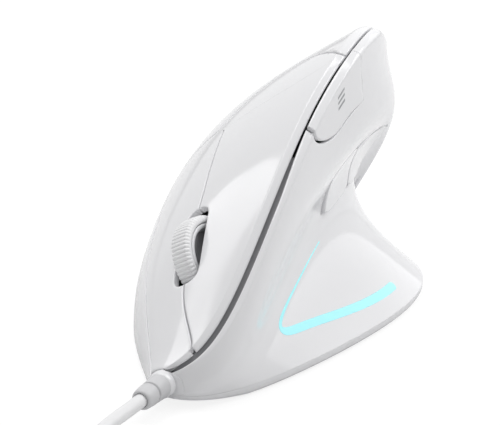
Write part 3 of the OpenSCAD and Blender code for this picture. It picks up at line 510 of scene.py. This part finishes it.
def finish(name, rgb, rough, ior=1.5, metal=0.0, mottle=(30.0, 0.03), grit=(0.8, 0.02), worn=0.06, **extra):
    """A moulded or plated finish: its colour drifts over mottle mm, its gloss with it, and grit bumps it."""
    made = bpy.data.materials.get(name)
    if made:
        return made
    m = bpy.data.materials.new(name)
    m.use_nodes = True
    tree = m.node_tree
    shader = tree.nodes["Principled BSDF"]
    place = add(tree, "ShaderNodeTexCoord").outputs["Object"]
    size, drift = mottle
    patch = add(tree, "ShaderNodeTexNoise", {"Vector": place}, Scale=1/(size*MM), Detail=3.0).outputs["Fac"]
    shades = [tuple(min(1, c*(1 + k*drift)) for c in rgb) + (1,) for k in (-1, 1)]
    tone = add(tree, "ShaderNodeMix", {"Factor": patch}, {"data_type": "RGBA"})
    tone.inputs[6].default_value, tone.inputs[7].default_value = shades
    tree.links.new(tone.outputs[2], shader.inputs["Base Color"])
    gloss = add(tree, "ShaderNodeMapRange", {"Value": patch},
                To_Min=max(0.02, rough - worn), To_Max=rough + worn)
    tree.links.new(gloss.outputs[0], shader.inputs["Roughness"])
    fine = add(tree, "ShaderNodeTexNoise", {"Vector": place}, Scale=1/(grit[0]*MM), Detail=2.0).outputs["Fac"]
    bump = add(tree, "ShaderNodeBump", {"Height": fine}, Strength=grit[1], Distance=0.0002)
    tree.links.new(bump.outputs[0], shader.inputs["Normal"])
    shader.inputs["IOR"].default_value = ior
    shader.inputs["Metallic"].default_value = metal
    for key, value in extra.items():
        shader.inputs[key.replace("_", " ")].default_value = value
    return m


def palette():
    """Every finish by name, from the scene's colours."""
    c = bpy.context.scene.mouse_colours
    return {
        # Glossy moulded ABS: white, with broad clean reflections and a faint unevenness of the mould
        "abs": finish("Gloss white ABS", c.abs_white, 0.09, 1.53, grit=(2.5, 0.012), worn=0.03),
        # The same ABS from an etched mould: matt, for the base
        "base": finish("Etched ABS", c.abs_base, 0.55, 1.53, grit=(0.35, 0.12)),
        # Matt moulded strip at the bottom of the groove
        "groove": finish("Matt moulded groove", c.groove, 0.5, 1.5, grit=(0.4, 0.1)),
        # Pad printed ink: mid grey, flat
        "print": finish("Pad printed ink", linear("#9A9B9E"), 0.5, 1.5, grit=(0.4, 0.05)),
        # Clear acrylic lit from behind, so that it glows evenly
        "light": finish("Lit acrylic", c.light, 0.15, 1.49, mottle=(18.0, 0.02), grit=(1.5, 0.01),
                        Emission_Color=(*c.light, 1), Emission_Strength=0.14),
        # Soft silicone rubber: satin, a little dusty
        "tyre": finish("Silicone rubber", c.tyre, 0.5, 1.43, grit=(0.3, 0.15)),
        # Satin moulded nylon in the wheel's recess
        "hub": finish("Satin nylon", c.hub, 0.4, 1.53, grit=(0.5, 0.08)),
        # Extruded PVC jacket: satin, with a drawn skin
        "jacket": finish("PVC jacket", c.jacket, 0.38, 1.53, grit=(0.5, 0.1)),
        "boot": finish("Moulded PVC boot", c.boot, 0.45, 1.53, grit=(0.5, 0.12)),
        # Skived PTFE: dark, waxy
        "ptfe": finish("Dark PTFE", linear("#3F4043"), 0.35, 1.38, grit=(0.6, 0.1)),
        "dark": finish("Dark moulded nylon", linear("#2A2B2D"), 0.45, 1.53, grit=(0.5, 0.12)),
        # Solder mask over glass laminate: green, slightly woven
        "board": finish("Solder mask laminate", linear("#1E5C3C"), 0.35, 1.5,
                        mottle=(6.0, 0.12), grit=(0.7, 0.2)),
        "steel": finish("Nickel plated steel", linear("#C4C5C8"), 0.25, 1.5, 1.0,
                        mottle=(5.0, 0.05), grit=(0.3, 0.05)),
        "gold": finish("Gold flash", linear("#D9B25A"), 0.22, 1.5, 1.0,
                       mottle=(3.0, 0.06), grit=(0.3, 0.05)),
        "clear": finish("Clear acrylic", linear("#DDE8EC"), 0.08, 1.49, grit=(1.0, 0.02),
                        Transmission_Weight=0.8),
    }


def dress(obj, body, material, slot, *nodes):
    """Gives a piece its finish and its body, and hides the model's nodes that it stands for. slot is not
    used.
    """
    obj.data.materials.clear()
    obj.data.materials.append(palette()[material])
    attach(obj, body)
    if nodes:
        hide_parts(*nodes)
    return obj


# Pieces

class MOUSE_OT_stage(bpy.types.Operator):
    """Camera, lamps, world and a pale floor"""
    bl_idname = "mouse.stage"
    bl_label = "Stage"

    def execute(self, context):
        scene, s = context.scene, context.scene.mouse_stage
        scene.view_settings.view_transform = "Standard"
        scene.camera = self.camera()
        self.lamp("Key soft box", s.key_power, (0.7, 0.5), (-0.34, 0.12, 0.86), (0, 0, 0.04))
        self.lamp("Side soft box", s.side_power, (0.75, 0.42), (0.451, 0.695, 0.382), (0, 0, 0.03))
        self.lamp("Rear soft box", s.rear_power, (0.5, 0.5), (0.424, 0.356, 0.739), (0, 0, 0.03))
        self.lamp("Left soft box", s.left_power, (0.34, 0.075), (-0.782, 0.232, 0.41), (0, 0, 0.03), 0.61)
        scene.world = self.studio(s.fill)
        self.floor()
        return {"FINISHED"}

    @staticmethod
    def camera():
        """Looks at the body from dist mm away, rolled a little, px_mm pixels to a millimetre there."""
        az, el, roll = np.radians([17.5, 21.5, 4.4])
        dist, px_mm, film = 600.0, 3.93, 36.0
        target, middle = np.array([0, 0, 30.0]), (266.6, 209.6)
        back = np.array([np.sin(az)*np.cos(el), -np.cos(az)*np.cos(el), np.sin(el)])
        right = np.array([np.cos(az), np.sin(az), 0])
        up = np.cross(back, right)
        x = right*np.cos(roll) + up*np.sin(roll)
        y = up*np.cos(roll) - right*np.sin(roll)
        data = bpy.data.cameras.new("Camera")
        data.sensor_fit, data.sensor_width = "HORIZONTAL", film
        data.lens = px_mm*dist/PHOTO[0]*film
        data.shift_x = (PHOTO[0]/2 - middle[0])/PHOTO[0]
        data.shift_y = (middle[1] - PHOTO[1]/2)/PHOTO[0]
        data.clip_start, data.clip_end = 0.01, 20
        camera = bpy.data.objects.new("Camera", data)
        place = np.eye(4)
        place[:3] = np.stack([x, y, back, (target + back*dist)*MM], -1)
        camera.matrix_world = Matrix(place.tolist())
        bpy.context.scene.collection.objects.link(camera)
        return camera

    @staticmethod
    def lamp(name, watts, size, where, at, roll=0.0):
        """A rectangular soft box that faces a point, turned about its own axis by roll."""
        data = bpy.data.lights.new(name, "AREA")
        data.energy, data.shape = watts, "RECTANGLE"
        data.size, data.size_y = size
        lamp = bpy.data.objects.new(name, data)
        way = Vector(at) - Vector(where)
        turn = way.to_track_quat("-Z", "Y").to_matrix() @ Matrix.Rotation(roll, 3, "Z")
        lamp.rotation_euler = turn.to_euler()
        lamp.location = where
        bpy.context.scene.collection.objects.link(lamp)

    @staticmethod
    def studio(fill):
        """World: an even fill on the object, and plain white where the camera, gloss or glass sees it."""
        world = bpy.data.worlds.new("Studio")
        world.use_nodes = True
        tree = world.node_tree
        sky = tree.nodes["Background"]
        sky.inputs["Color"].default_value = WHITE
        sky.inputs["Strength"].default_value = fill
        white = add(tree, "ShaderNodeBackground", Color=WHITE, Strength=1.0)
        rays = add(tree, "ShaderNodeLightPath").outputs
        seen = rays["Is Camera Ray"]
        for kind in ("Is Glossy Ray", "Is Transmission Ray"):
            seen = add(tree, "ShaderNodeMath", {0: seen, 1: rays[kind]}, {"operation": "MAXIMUM"}).outputs[0]
        mix = add(tree, "ShaderNodeMixShader", {0: seen, 1: sky.outputs[0], 2: white.outputs[0]})
        tree.links.new(mix.outputs[0], tree.nodes["World Output"].inputs["Surface"])
        return world

    @staticmethod
    def floor():
        """A card that the camera sees nearly white of itself, so that only a faint shadow is left on it."""
        bpy.ops.mesh.primitive_plane_add(size=6)
        floor = bpy.context.object
        floor.name = "floor"
        m = bpy.data.materials.new("Studio floor")
        m.use_nodes = True
        tree = m.node_tree
        card = tree.nodes["Principled BSDF"]
        card.inputs["Base Color"].default_value = (0.8, 0.8, 0.8, 1)
        card.inputs["Roughness"].default_value = 0.9
        rays = add(tree, "ShaderNodeLightPath").outputs
        glow = add(tree, "ShaderNodeEmission", Color=WHITE, Strength=0.84)
        shade = add(tree, "ShaderNodeBsdfDiffuse", Color=(0.2, 0.2, 0.2, 1))
        both = add(tree, "ShaderNodeAddShader", {0: shade.outputs[0], 1: glow.outputs[0]})
        mix = add(tree, "ShaderNodeMixShader",
                  {0: rays["Is Camera Ray"], 1: card.outputs[0], 2: both.outputs[0]})
        tree.links.new(mix.outputs[0], tree.nodes["Material Output"].inputs["Surface"])
        floor.data.materials.append(m)
        return floor


def coil_points(n):
    """Loops that spiral in and out at a steady rate, and climb a layer in half a turn where they reverse."""
    s = np.linspace(0, COIL_LOOPS*COIL_LAYERS, n)
    k = np.minimum(np.floor(s/COIL_LOOPS), COIL_LAYERS - 1)
    f = s/COIL_LOOPS - k
    r = COIL_OUT + (COIL_R - COIL_OUT)*np.where(k % 2 == 0, f, 1 - f)
    turn = np.round(s/COIL_LOOPS)
    near = s - turn*COIL_LOOPS
    climbs = (turn > 0) & (turn < COIL_LAYERS) & (np.abs(near) < 0.25)
    z = np.where(climbs, turn - 0.5 + 2*near, k)
    a = 2*np.pi*s
    return np.stack([COIL_AT[0] + r*np.cos(a), COIL_AT[1] - r*np.sin(a), COIL_Z + z*COIL_PITCH], -1)


def smooth_path(points, n):
    """A B-spline along route points."""
    return spline(np.asarray(points, float), np.linspace(0, 1, n))


class MOUSE_OT_cord(bpy.types.Operator):
    """Cord, its boot, its tie and its plug's grip"""
    bl_idname = "mouse.cord"
    bl_label = "Cord and plug"

    def execute(self, context):
        path = np.concatenate([smooth_path(LEAD_POINTS, 70)[:-1], coil_points(620),
                               smooth_path(TAIL_POINTS, 50)[1:]])
        cord = dress(tube("cord", path, CORD_D/2), "housing", "jacket", "cord_white",
                     "cable_lead", "cable_coil", "cable_tail")
        boot = dress(self.boot(), "housing", "boot", "boot_grey", "strain_relief")
        tie = dress(self.tie(), "housing", "dark", "inner_dark", "cable_tie")
        grip = dress(self.grip(), "housing", "jacket", "cord_white", "plug_grip")
        return {"FINISHED"}

    @staticmethod
    def boot():
        """Strain relief: a stepped sleeve turned about the cord, with a groove between its two tiers."""
        outline = [(-2.5, 1.75), (-2.5, 2.1), (-1.8, 2.1), (-1.8, 2.0), (0.3, 2.0), (0.5, 3.05), (5.0, 2.85),
                   (5.15, 2.4), (5.65, 2.4), (5.8, 2.85), (9.3, 2.6), (BOOT_LEN, 2.3), (BOOT_LEN, 1.75)]
        return turned("boot", soft_profile(outline, 0.35), BOOT_ROOT, BOOT_DIR, np.array([0, 0, 1.0]), 64)

    @staticmethod
    def tie():
        """A flat strap carried round the coil's bundle along a rectangle with round corners."""
        y0, y1 = COIL_AT[1] + COIL_R - CORD_D/2 - 1.0, COIL_AT[1] + COIL_OUT + CORD_D/2 + 0.7
        z0, z1 = 0.4, COIL_TOP + CORD_D/2 + 0.7
        loop = soft_profile([(y0, z0), (y1, z0), (y1, z1), (y0, z1)], 3.0, 10)
        across = np.array([[-2.4, 0.0], [-2.2, 0.3], [2.2, 0.3], [2.4, 0.0], [2.2, -0.3], [-2.2, -0.3]])
        out = unit(np.stack([np.gradient(loop[:, 1]), -np.gradient(loop[:, 0])], -1))
        p = np.stack([np.broadcast_to(COIL_AT[0] + across[:, 0], (len(loop), 6)),
                      loop[:, None, 0] + across[None, :, 1]*out[:, None, 0],
                      loop[:, None, 1] + across[None, :, 1]*out[:, None, 1]], -1)
        return lofted("tie", p, True)

    @staticmethod
    def grip():
        """Plug grip: superellipse sections along Y, with three finger grooves and a neck over the cord."""
        s = np.linspace(0, 1, 90)
        y = PLUG_Y + GRIP_L*s
        full = ease((s - 0.1)/0.16)
        dips = 0.35*sum(np.exp(-((s - c)/0.018)**2) for c in (0.42, 0.5, 0.58))
        ends = np.sqrt(np.clip((1 - s)/0.03, 0, 1))
        neck = 2.6
        half_w, half_h = ((neck + (k - neck)*full - dips)*(0.9 + 0.1*ends) for k in (5.7, 3.9))
        a = np.linspace(0, 2*np.pi, 48, endpoint=False)
        power = 2/(2 + 3*full)[:, None]
        cx = np.sign(np.cos(a))*np.abs(np.cos(a))**power
        cz = np.sign(np.sin(a))*np.abs(np.sin(a))**power
        p = np.stack([TAIL_X + half_w[:, None]*cx, np.broadcast_to(y[:, None], cx.shape),
                      PLUG_Z + half_h[:, None]*cz], -1)
        return lofted("plug_grip_skin", p)


def along(a, b, n=60):
    """Even values between two ends."""
    return np.linspace(a, b, n)


FINGER_ROWS, THUMB_ROWS = (-0.1, -0.03, 0.0, 0.006, 0.018), (-0.08, -0.02, 0.0, 0.006, 0.018)


def ridge(u, rows):
    """Rows of points that keep the crease at the crest's edge crisp."""
    return [np.stack([u, np.full(len(u), v)], -1) for v in rows]


def slit_us():
    """Values of u along the slit, close together at the slot's ends."""
    c, h = sum(SLOT_U)/2, (SLOT_U[1] - SLOT_U[0])/2
    slot = c + h*np.sin(np.linspace(-np.pi/2, np.pi/2, 90))
    return along(TIP_U, SLOT_U[0] - 0.002, 50), slot, along(SLOT_U[1] + 0.002, HINGE_U, 50)


class MOUSE_OT_keys(bpy.types.Operator):
    """Left and right keys and the fixed panel behind them"""
    bl_idname = "mouse.keys"
    bl_label = "Keys"

    def execute(self, context):
        r = context.scene.mouse_sizes.edge
        half = off_u(FINGER, np.array([HINGE_U]), np.array([0.3]), HINGE_SEAM/2)[0]
        hinge, start = HINGE_U - half, HINGE_U + half
        us = np.concatenate(slit_us())
        us = us[us < hinge]
        upper, lower = slit_edge(us, -1), slit_edge(us, 1)
        left = border((along(TIP_U - TIP_SLANT, hinge, 120), -BEVEL, r),
                      (hinge, along(-BEVEL, upper[-1], 40), 0), (us[::-1], upper[::-1], 0.6*r),
                      (along(TIP_U, TIP_U - TIP_SLANT, 14), along(upper[0], -BEVEL, 14), 0.5*r))
        rows = ridge(along(TIP_U, hinge, 90), FINGER_ROWS)
        dress(cover("left_key_skin", FINGER, left, wall=self.wall, lines=rows),
              "left_key", "abs", "shell_white", "left_key")
        front = along(KEY_U, SLIT_U - TIP_SLANT - TIP_ROOM, 40)
        groove_side = 0.12*(1 - ease((front - KEY_U)/0.03)) - BEVEL
        tip = along(SLIT_U - 0.95*TIP_SLANT, TIP_U - 0.001, 14)
        low_us = along(hinge, KEY_U + KEY_SLANT, 110)
        low = crease_v(low_us) - off_v(FINGER, low_us, crease_v(low_us), SEAM/2)
        right = border((front, groove_side, r), (tip - TIP_ROOM, slit_v(tip) + SEAM/2/TIP_RUN, 0.5*r),
                       (us, lower, 0.6*r), (hinge, along(lower[-1], low[0], 40), 0), (low_us, low, 0.8*r),
                       (along(KEY_U + KEY_SLANT, KEY_U, 40), along(low[-1], 0, 40), r),
                       (KEY_U, along(0, groove_side[0], 12), r))
        rows = ridge(along(KEY_U, SLIT_U), FINGER_ROWS)
        dress(cover("right_key_skin", FINGER, right, wall=self.wall, lines=rows),
              "right_key", "abs", "shell_white", "right_key")
        v = along(-BEVEL, crease_v(0.6), 90)
        rear = seam_u(v) - off_u(FINGER, seam_u(v), np.maximum(v, 0), SEAM/2)
        foot = along(rear[-1], start, 12)
        panel = border((along(start, rear[0], 20), -BEVEL, r), (rear, v, 0.8*r),
                       (foot, crease_v(foot) - off_v(FINGER, foot, crease_v(foot), SEAM/2), 0.8*r),
                       (start, along(crease_v(start) - 0.004, -BEVEL, 60), 0))
        dress(cover("key_panel_skin", FINGER, panel, lines=ridge(along(start, 0.65, 24), FINGER_ROWS)),
              "housing", "abs", "shell_white", "key_panel")
        return {"FINISHED"}

    @staticmethod
    def wall(u, v):
        """Thickness of a key: thin along the groove, where it dips by the strip, full past the crest."""
        return 0.55 + 1.25*ease((v + 0.2)/0.3)


def dpi_low(u):
    """Lower edge of the sensitivity button: a quarter superellipse of power 1.8 in front, then straight."""
    return DPI_W*(1 - np.clip((DPI_ROUND - u)/(DPI_ROUND - DPI_U[0]), 0, 1)**1.8)**(1/1.8)


def tight(u):
    """How far the sensitivity button's seam has closed: 0 at its front, 1 at its rear."""
    return ease((u - 0.555)/0.04)


def dpi_side(grow):
    """Outline of the sensitivity button from the groove, round its front, below it and up its rear.

    It is moved out by grow mm at its front and below it, and by a fifth of that at its tight rear.
    """
    front = DPI_ROUND - (DPI_ROUND - DPI_U[0])*np.cos(along(0, np.pi/2, 30))
    u = np.concatenate([front, along(DPI_ROUND, DPI_U[1], 30)[1:]])
    top = thumb_edge(np.array(DPI_U))
    nose = np.stack([along(DPI_U[0] + DPI_LEAN, DPI_U[0], 14), along(top[0], dpi_low(u)[0], 14)], -1)
    rear = np.stack([np.full(24, DPI_U[1]), along(DPI_W, top[1], 24)], -1)
    path = np.concatenate([nose[:-1], np.stack([u, dpi_low(u)], -1), rear[1:]])
    d = unit(np.gradient(path*LAYOUT, axis=0))
    grow = grow*(1 - 0.8*tight(path[:, :1]))
    return path + grow*np.stack([-d[:, 1], d[:, 0]], -1)/LAYOUT


def thumb_bounds(u):
    """Upper and lower edges of the thumb keys."""
    low = 0.65 - 7.5*np.maximum(0, np.minimum(u, 0.84) - 0.68)**2
    return low - THUMB_BAND, low


def key_loop(u0, u1, gap, r):
    """Outline of a thumb key between two values of u, drawn in by a gap in mm and narrower at its ends."""
    step = off_u(THUMB, np.array([u0]), np.array([0.55]), gap)[0]
    u = along(u0 + step, u1 - step, 50)
    high, low = thumb_bounds(u)
    g = off_v(THUMB, u, low, gap)
    high, low = high + g, low - g
    bow = 0.8 + 0.2*ease(np.minimum(u - u[0], u[-1] - u)/(u[-1] - u[0])/0.22)
    mid = (high + low)/2
    high, low = mid + (high - mid)*bow, mid + (low - mid)*bow
    return border((u, high, r), (u[-1], along(high[-1], low[-1], 20), r), (u[::-1], low[::-1], r),
                  (u[0], along(low[0], high[0], 20), r))


class MOUSE_OT_shells(bpy.types.Operator):
    """Finger side and rear shell, and the thumb shell with its openings"""
    bl_idname = "mouse.shells"
    bl_label = "Shells"

    def execute(self, context):
        r = context.scene.mouse_sizes.edge
        v = along(-BEVEL, crease_v(0.6), 90)
        seam = seam_u(v) + off_u(FINGER, seam_u(v), np.maximum(v, 0), SEAM/2)
        us = along(FINGER_NOSE_U, seam[-1], 120)
        crease = crease_v(us) + off_v(FINGER, us, crease_v(us), SEAM/2)
        rear = along(seam[0], 1, 90)
        finger = border((rear, -BEVEL, 0.8*r), (1, along(-BEVEL, 1, 40), 0.2),
                        (along(1, FINGER_NOSE_U, 200), 1, 0.04),
                        (FINGER_NOSE_U, along(1, crease[0], 12), 0.2), (us, crease, 0.8*r),
                        (seam[::-1], v[::-1], 0.8*r))
        dress(cover("finger_shell_skin", FINGER, finger, lines=ridge(along(0.6, 0.995, 90), FINGER_ROWS)),
              "housing", "abs", "shell_white", "finger_shell")
        front, back, notch = along(NOSE_U, DPI_U[0] + DPI_LEAN, 140), along(DPI_U[1], 1, 90), dpi_side(0)
        ends = thumb_edge(np.array([NOSE_U, 1.0]))
        thumb = border((front, thumb_edge(front), r), (*notch.T, 0.7*r - 0.5*r*tight(notch[:, 0])),
                       (back, thumb_edge(back), 0.8*r), (1, along(ends[1], 1, 40), 0.2),
                       (along(1, NOSE_U, 200), 1, 0.04), (NOSE_U, along(1, ends[0], 20), 0.2))
        keys = key_loop(THUMB_US[0], THUMB_US[2], 0.0, 0.5*r)
        rows = ridge(along(NOSE_U, 0.45, 100), THUMB_ROWS) + ridge(along(0.61, 0.99, 90), THUMB_ROWS)
        dress(cover("thumb_shell_skin", THUMB, thumb, [keys], lines=rows),
              "housing", "abs", "shell_white", "thumb_shell")
        dress(self.nose_end(), "housing", "abs", "shell_white", "nose_collar")
        dress(self.nose_plate(), "housing", "abs", "shell_white")
        dress(cover("nose_cheek", FINGER, self.cheek(), wall=0.5, step=0.6), "housing", "abs", "shell_white")
        dress(self.strip(), "housing", "groove", "groove_grey", "crest_strip")
        dress(self.rim(), "housing", "abs", "shell_white")
        return {"FINISHED"}

    @staticmethod
    def strip():
        """Strip at the bottom of the groove: a flat bar carried along the crest, under the keys' edge."""
        u = along(0.022, 0.425, 160)
        wide, depth = spline(CREST_W, u), (1.45, 2.05)
        n = skin_frame(FINGER, u, np.full_like(u, -0.45))[0]
        out = [BEVEL - 0.5/wide, BEVEL + (groove(u) - 0.05)/wide]
        corners = [finger_at(u, -out[i]) - depth[j]*n for i, j in ((0, 0), (1, 0), (1, 1), (0, 1))]
        return lofted("groove_strip", np.stack(corners, 1))

    @staticmethod
    def cheek():
        """Outline of the cheek that closes the nose below the right key, a gap away from the key's edge."""
        key, foot, low = KEY_U - CHEEK_GAP, FINGER_NOSE_U - CHEEK_GAP, crease_v(KEY_U + KEY_SLANT)
        return border((CHEEK_U, along(1, -BEVEL, 40), 0.05), (along(CHEEK_U, key, 8), -BEVEL, 0.05),
                      (key, along(-BEVEL, 0, 10), 0.2),
                      (along(key, key + KEY_SLANT, 30), along(0, low, 30), 0.2),
                      (along(key + KEY_SLANT, foot, 8), low, 0.1), (foot, along(low, 1, 10), 0.1),
                      (along(foot, CHEEK_U, 30), 1, 0.04))

    @staticmethod
    def rim():
        """Skirt under the shells: a rounded lip carried round the base's side, shallower at the nose."""
        u = along(0.004, 1, 220)
        loop = np.concatenate([finger_at(u, np.ones(220)), thumb_at(u, np.ones(220))[-2::-1]])[:-1]
        d = unit((np.roll(loop, -1, 0) - np.roll(loop, 1, 0))[:, :2])
        inward = np.stack([d[:, 1], -d[:, 0], np.zeros(len(d))], -1)
        rise = NOSE_RISE*np.clip((RISE_Y - loop[:, 1])/(BODY_L/2 + RISE_Y), 0, 1)
        lip = [(1.2, 2.95), (0.02, 2.97), (0.0, 2.6), (0.05, 1.5), (0.3, 0.95), (0.55, 0.8), (1.2, 0.8)]
        down = np.array([0, 0, -1.0])
        drop = 1 - rise[:, None]/LIP_DROP
        p = np.stack([loop + a*inward + (SHELL_Z - z)*drop*down for a, z in lip])
        return lofted("base_lip", p, True)

    @staticmethod
    def nose_end():
        """Collar that carries the nose over the boot's root: a short round sleeve turned about the cord."""
        outline = [(-1.5, 2.2), (-1.5, 3.4), (0, 3.35), (0.9, 3.1), (0.9, 2.2)]
        return turned("nose_end", soft_profile(outline, 0.5), BOOT_ROOT, BOOT_DIR, np.array([0, 0, 1.0]), 64)

    @staticmethod
    def nose_plate():
        """Front of the nose behind the collar: the section there carried along Y, drawn in at its front."""
        n = 40
        nose = np.full(n, 0.02)
        loop = np.concatenate([finger_at(nose, along(-1, 1, n)), thumb_at(nose, along(1, 0, n))])[:-1]
        mid = loop.mean(0)
        rows = [(0.95, -0.3), (0.99, -0.24), (1.0, -0.14), (1.0, -0.02)]
        p = np.stack([mid + (loop - mid)*k + np.array([0, y, 0]) for k, y in rows])
        return lofted("nose_plate", p)


class MOUSE_OT_buttons(bpy.types.Operator):
    """Sensitivity button and the two thumb keys"""
    bl_idname = "mouse.buttons"
    bl_label = "Buttons"

    def execute(self, context):
        r = context.scene.mouse_sizes.edge
        side = dpi_side(-1.4*SEAM)
        top = along(side[-1, 0], side[0, 0], 40)
        loop = border((*side.T, 0.8*r - 0.55*r*tight(side[:, 0])), (top, thumb_edge(top), 0.8*r))
        rows = ridge(along(0.46, 0.6, 40), THUMB_ROWS)
        dress(cover("dpi_button_skin", THUMB, loop, proud=0.15, lines=rows, step=0.7),
              "dpi_button", "abs", "shell_white", "dpi_button")
        for k in range(3):
            u, low = along(*BAR_U, 8), BAR_V + BAR_PITCH*k
            mark = border((u, low, 0.02), (u[::-1], low + BAR_W, 0.02))
            dress(cover("dpi_mark_%d" % (k + 1), THUMB, mark, proud=0.19, wall=0.3, step=0.6),
                  "dpi_button", "print", "groove_grey")
        for name, u0, u1 in (("forward_button", *THUMB_US[:2]), ("back_button", *THUMB_US[1:])):
            loop = key_loop(u0, u1, SEAM, r)
            dress(cover(name + "_skin", THUMB, loop, proud=self.ledge, wall=1.4, step=0.7),
                  name, "abs", "shell_white", name)
        return {"FINISHED"}

    @staticmethod
    def ledge(u, v):
        """Height of a thumb key: flush along its upper edge and 1.1 mm proud along its lower one."""
        high, low = thumb_bounds(u)
        return 0.1 + ease((v - high)/(low - high))


class MOUSE_OT_light(bpy.types.Operator):
    """Light hook on the thumb rest"""
    bl_idname = "mouse.light"
    bl_label = "Light hook"

    def execute(self, context):
        centre = np.array([(0.537, 0.707), (0.5, 0.716), (0.46, 0.727), (0.42, 0.737), (0.385, 0.747),
                           (0.357, 0.768), (0.352, 0.805), (0.366, 0.842), (0.41, 0.873), (0.46, 0.905),
                           (0.52, 0.931), (0.58, 0.943), (0.625, 0.945)])
        half = np.array([0.2, 0.25, 0.3, 0.36, 0.45, 0.62, 0.95, 1.15, 1.2, 1.25, 1.3, 1.3, 1.3])
        t = 1 - np.linspace(1, 0, 200)**1.3
        path = spline(centre, t)
        run = np.linalg.norm(np.diff(skin(THUMB, path[:, 0], path[:, 1]), axis=0), axis=1)[::-1]
        left = np.concatenate([[0], np.cumsum(run)])[::-1]
        width = spline(half, t)*np.sqrt(np.clip(1 - (1 - left/1.3).clip(0, 0.995)**2, 0, 1))
        _, ru, rv = skin_frame(THUMB, path[:, 0], path[:, 1])
        scale = np.stack([ru, rv], -1)
        d = unit(np.gradient(path, axis=0)*scale)
        way = np.stack([-d[:, 1], d[:, 0]], -1)*width[:, None]/scale
        loop = np.concatenate([path + way, (path - way)[::-1]])
        loop = np.concatenate([loop, np.full((len(loop), 1), 0.12)], 1)
        proud = context.scene.mouse_sizes.hook_proud
        piece = cover("light_hook", THUMB, loop, proud=proud, wall=1.0, step=0.6)
        dress(piece, "housing", "light", "light_cyan", "light_guide")
        return {"FINISHED"}


class MOUSE_OT_wheel(bpy.types.Operator):
    """Ribbed tyre, rim and hub of the wheel"""
    bl_idname = "mouse.wheel"
    bl_label = "Wheel"

    def execute(self, context):
        ribs, hub_r, half = context.scene.mouse_sizes.ribs, WHEEL_R - TYRE_T, TYRE_W/2
        crown = [(x, WHEEL_R - 0.18*(x/half)**2) for x in np.linspace(-2.2, 2.2, 11)]
        tyre = soft_profile([(-half, hub_r), (-half, 9.9), *crown, (half, 9.9), (half, hub_r)], 0.45, 4)

        def ripple(turn, profile):
            """Ribs over the tread and shoulders: a cosine wave to the sixth power that fades on the sides."""
            return 0.3*ease((profile[:, 1] - 9.2)/0.9)[None]*np.cos(0.5*ribs*turn)**6

        dress(turned("tyre_skin", tyre, AXLE, KEY_X, KEY_Z, ribs*8, ripple),
              "wheel", "tyre", "tyre_white", "wheel_tyre")
        seat = hub_r - 0.12
        rim = soft_profile([(-2.75, 7.7), (-2.75, seat), (2.75, seat), (2.75, 7.7), (1.4, 7.0), (-1.4, 7.0)],
                           0.35, 4)
        dress(turned("rim", rim, AXLE, KEY_X, KEY_Z, 128), "wheel", "abs", "hub_grey", "wheel_hub")
        web = soft_profile([(-1.0, 7.3), (1.0, 7.3), (1.1, 3.2), (2.3, 2.9), (2.3, 1.55), (-2.3, 1.55),
                            (-2.3, 2.9), (-1.1, 3.2)], 0.3, 4)
        dress(turned("hub_web", web, AXLE, KEY_X, KEY_Z, 96), "wheel", "hub", "hub_grey")
        return {"FINISHED"}


class MOUSE_OT_inside(bpy.types.Operator):
    """Finishes of the model's own pieces: base, feet, boards, switches and the plug's metal"""
    bl_idname = "mouse.inside"
    bl_label = "Carried pieces"

    def execute(self, context):
        finishes = {"base_grey": "base", "foot_dark": "ptfe", "steel": "steel", "groove_grey": "groove",
                    "board_green": "board", "inner_dark": "dark", "lamp_clear": "clear",
                    "lens_clear": "clear", "hub_grey": "base", "shell_white": "abs", "contact_gold": "gold",
                    "cord_white": "jacket", "boot_grey": "boot", "tyre_white": "tyre", "light_cyan": "light"}
        made = palette()
        for part in frame["record"]["subparts"]:
            data = NODES[part["node"]].data
            data.materials.clear()
            data.materials.append(made[finishes[part["material_slot"]]])
        return {"FINISHED"}


class MOUSE_PT_panel(bpy.types.Panel):
    """Sizes, colours and steps of the mouse"""
    bl_idname = "MOUSE_PT_panel"
    bl_label = "Vertical mouse"
    bl_space_type = "VIEW_3D"
    bl_region_type = "UI"
    bl_category = "Mouse"

    def draw(self, context):
        for group in (context.scene.mouse_sizes, context.scene.mouse_colours, context.scene.mouse_stage):
            for name in group.__annotations__:
                self.layout.prop(group, name)
        for step in STEPS:
            self.layout.operator(step.bl_idname)


STEPS = (MOUSE_OT_stage, MOUSE_OT_cord, MOUSE_OT_inside, MOUSE_OT_shells, MOUSE_OT_keys, MOUSE_OT_buttons,
         MOUSE_OT_light, MOUSE_OT_wheel)
GROUPS = {"mouse_sizes": MouseSizes, "mouse_colours": MouseColours, "mouse_stage": MouseStage}
CLASSES = (*GROUPS.values(), *STEPS, MOUSE_PT_panel)


def register():
    for cls in CLASSES:
        bpy.utils.register_class(cls)
    for name, cls in GROUPS.items():
        setattr(bpy.types.Scene, name, PointerProperty(type=cls))


def unregister():
    for name in GROUPS:
        delattr(bpy.types.Scene, name)
    for cls in reversed(CLASSES):
        bpy.utils.unregister_class(cls)


def main():
    register()
    for step in STEPS:
        getattr(bpy.ops.mouse, step.bl_idname.split(".")[1])()
    bpy.context.view_layer.update()


if __name__ == "__main__":
    main()
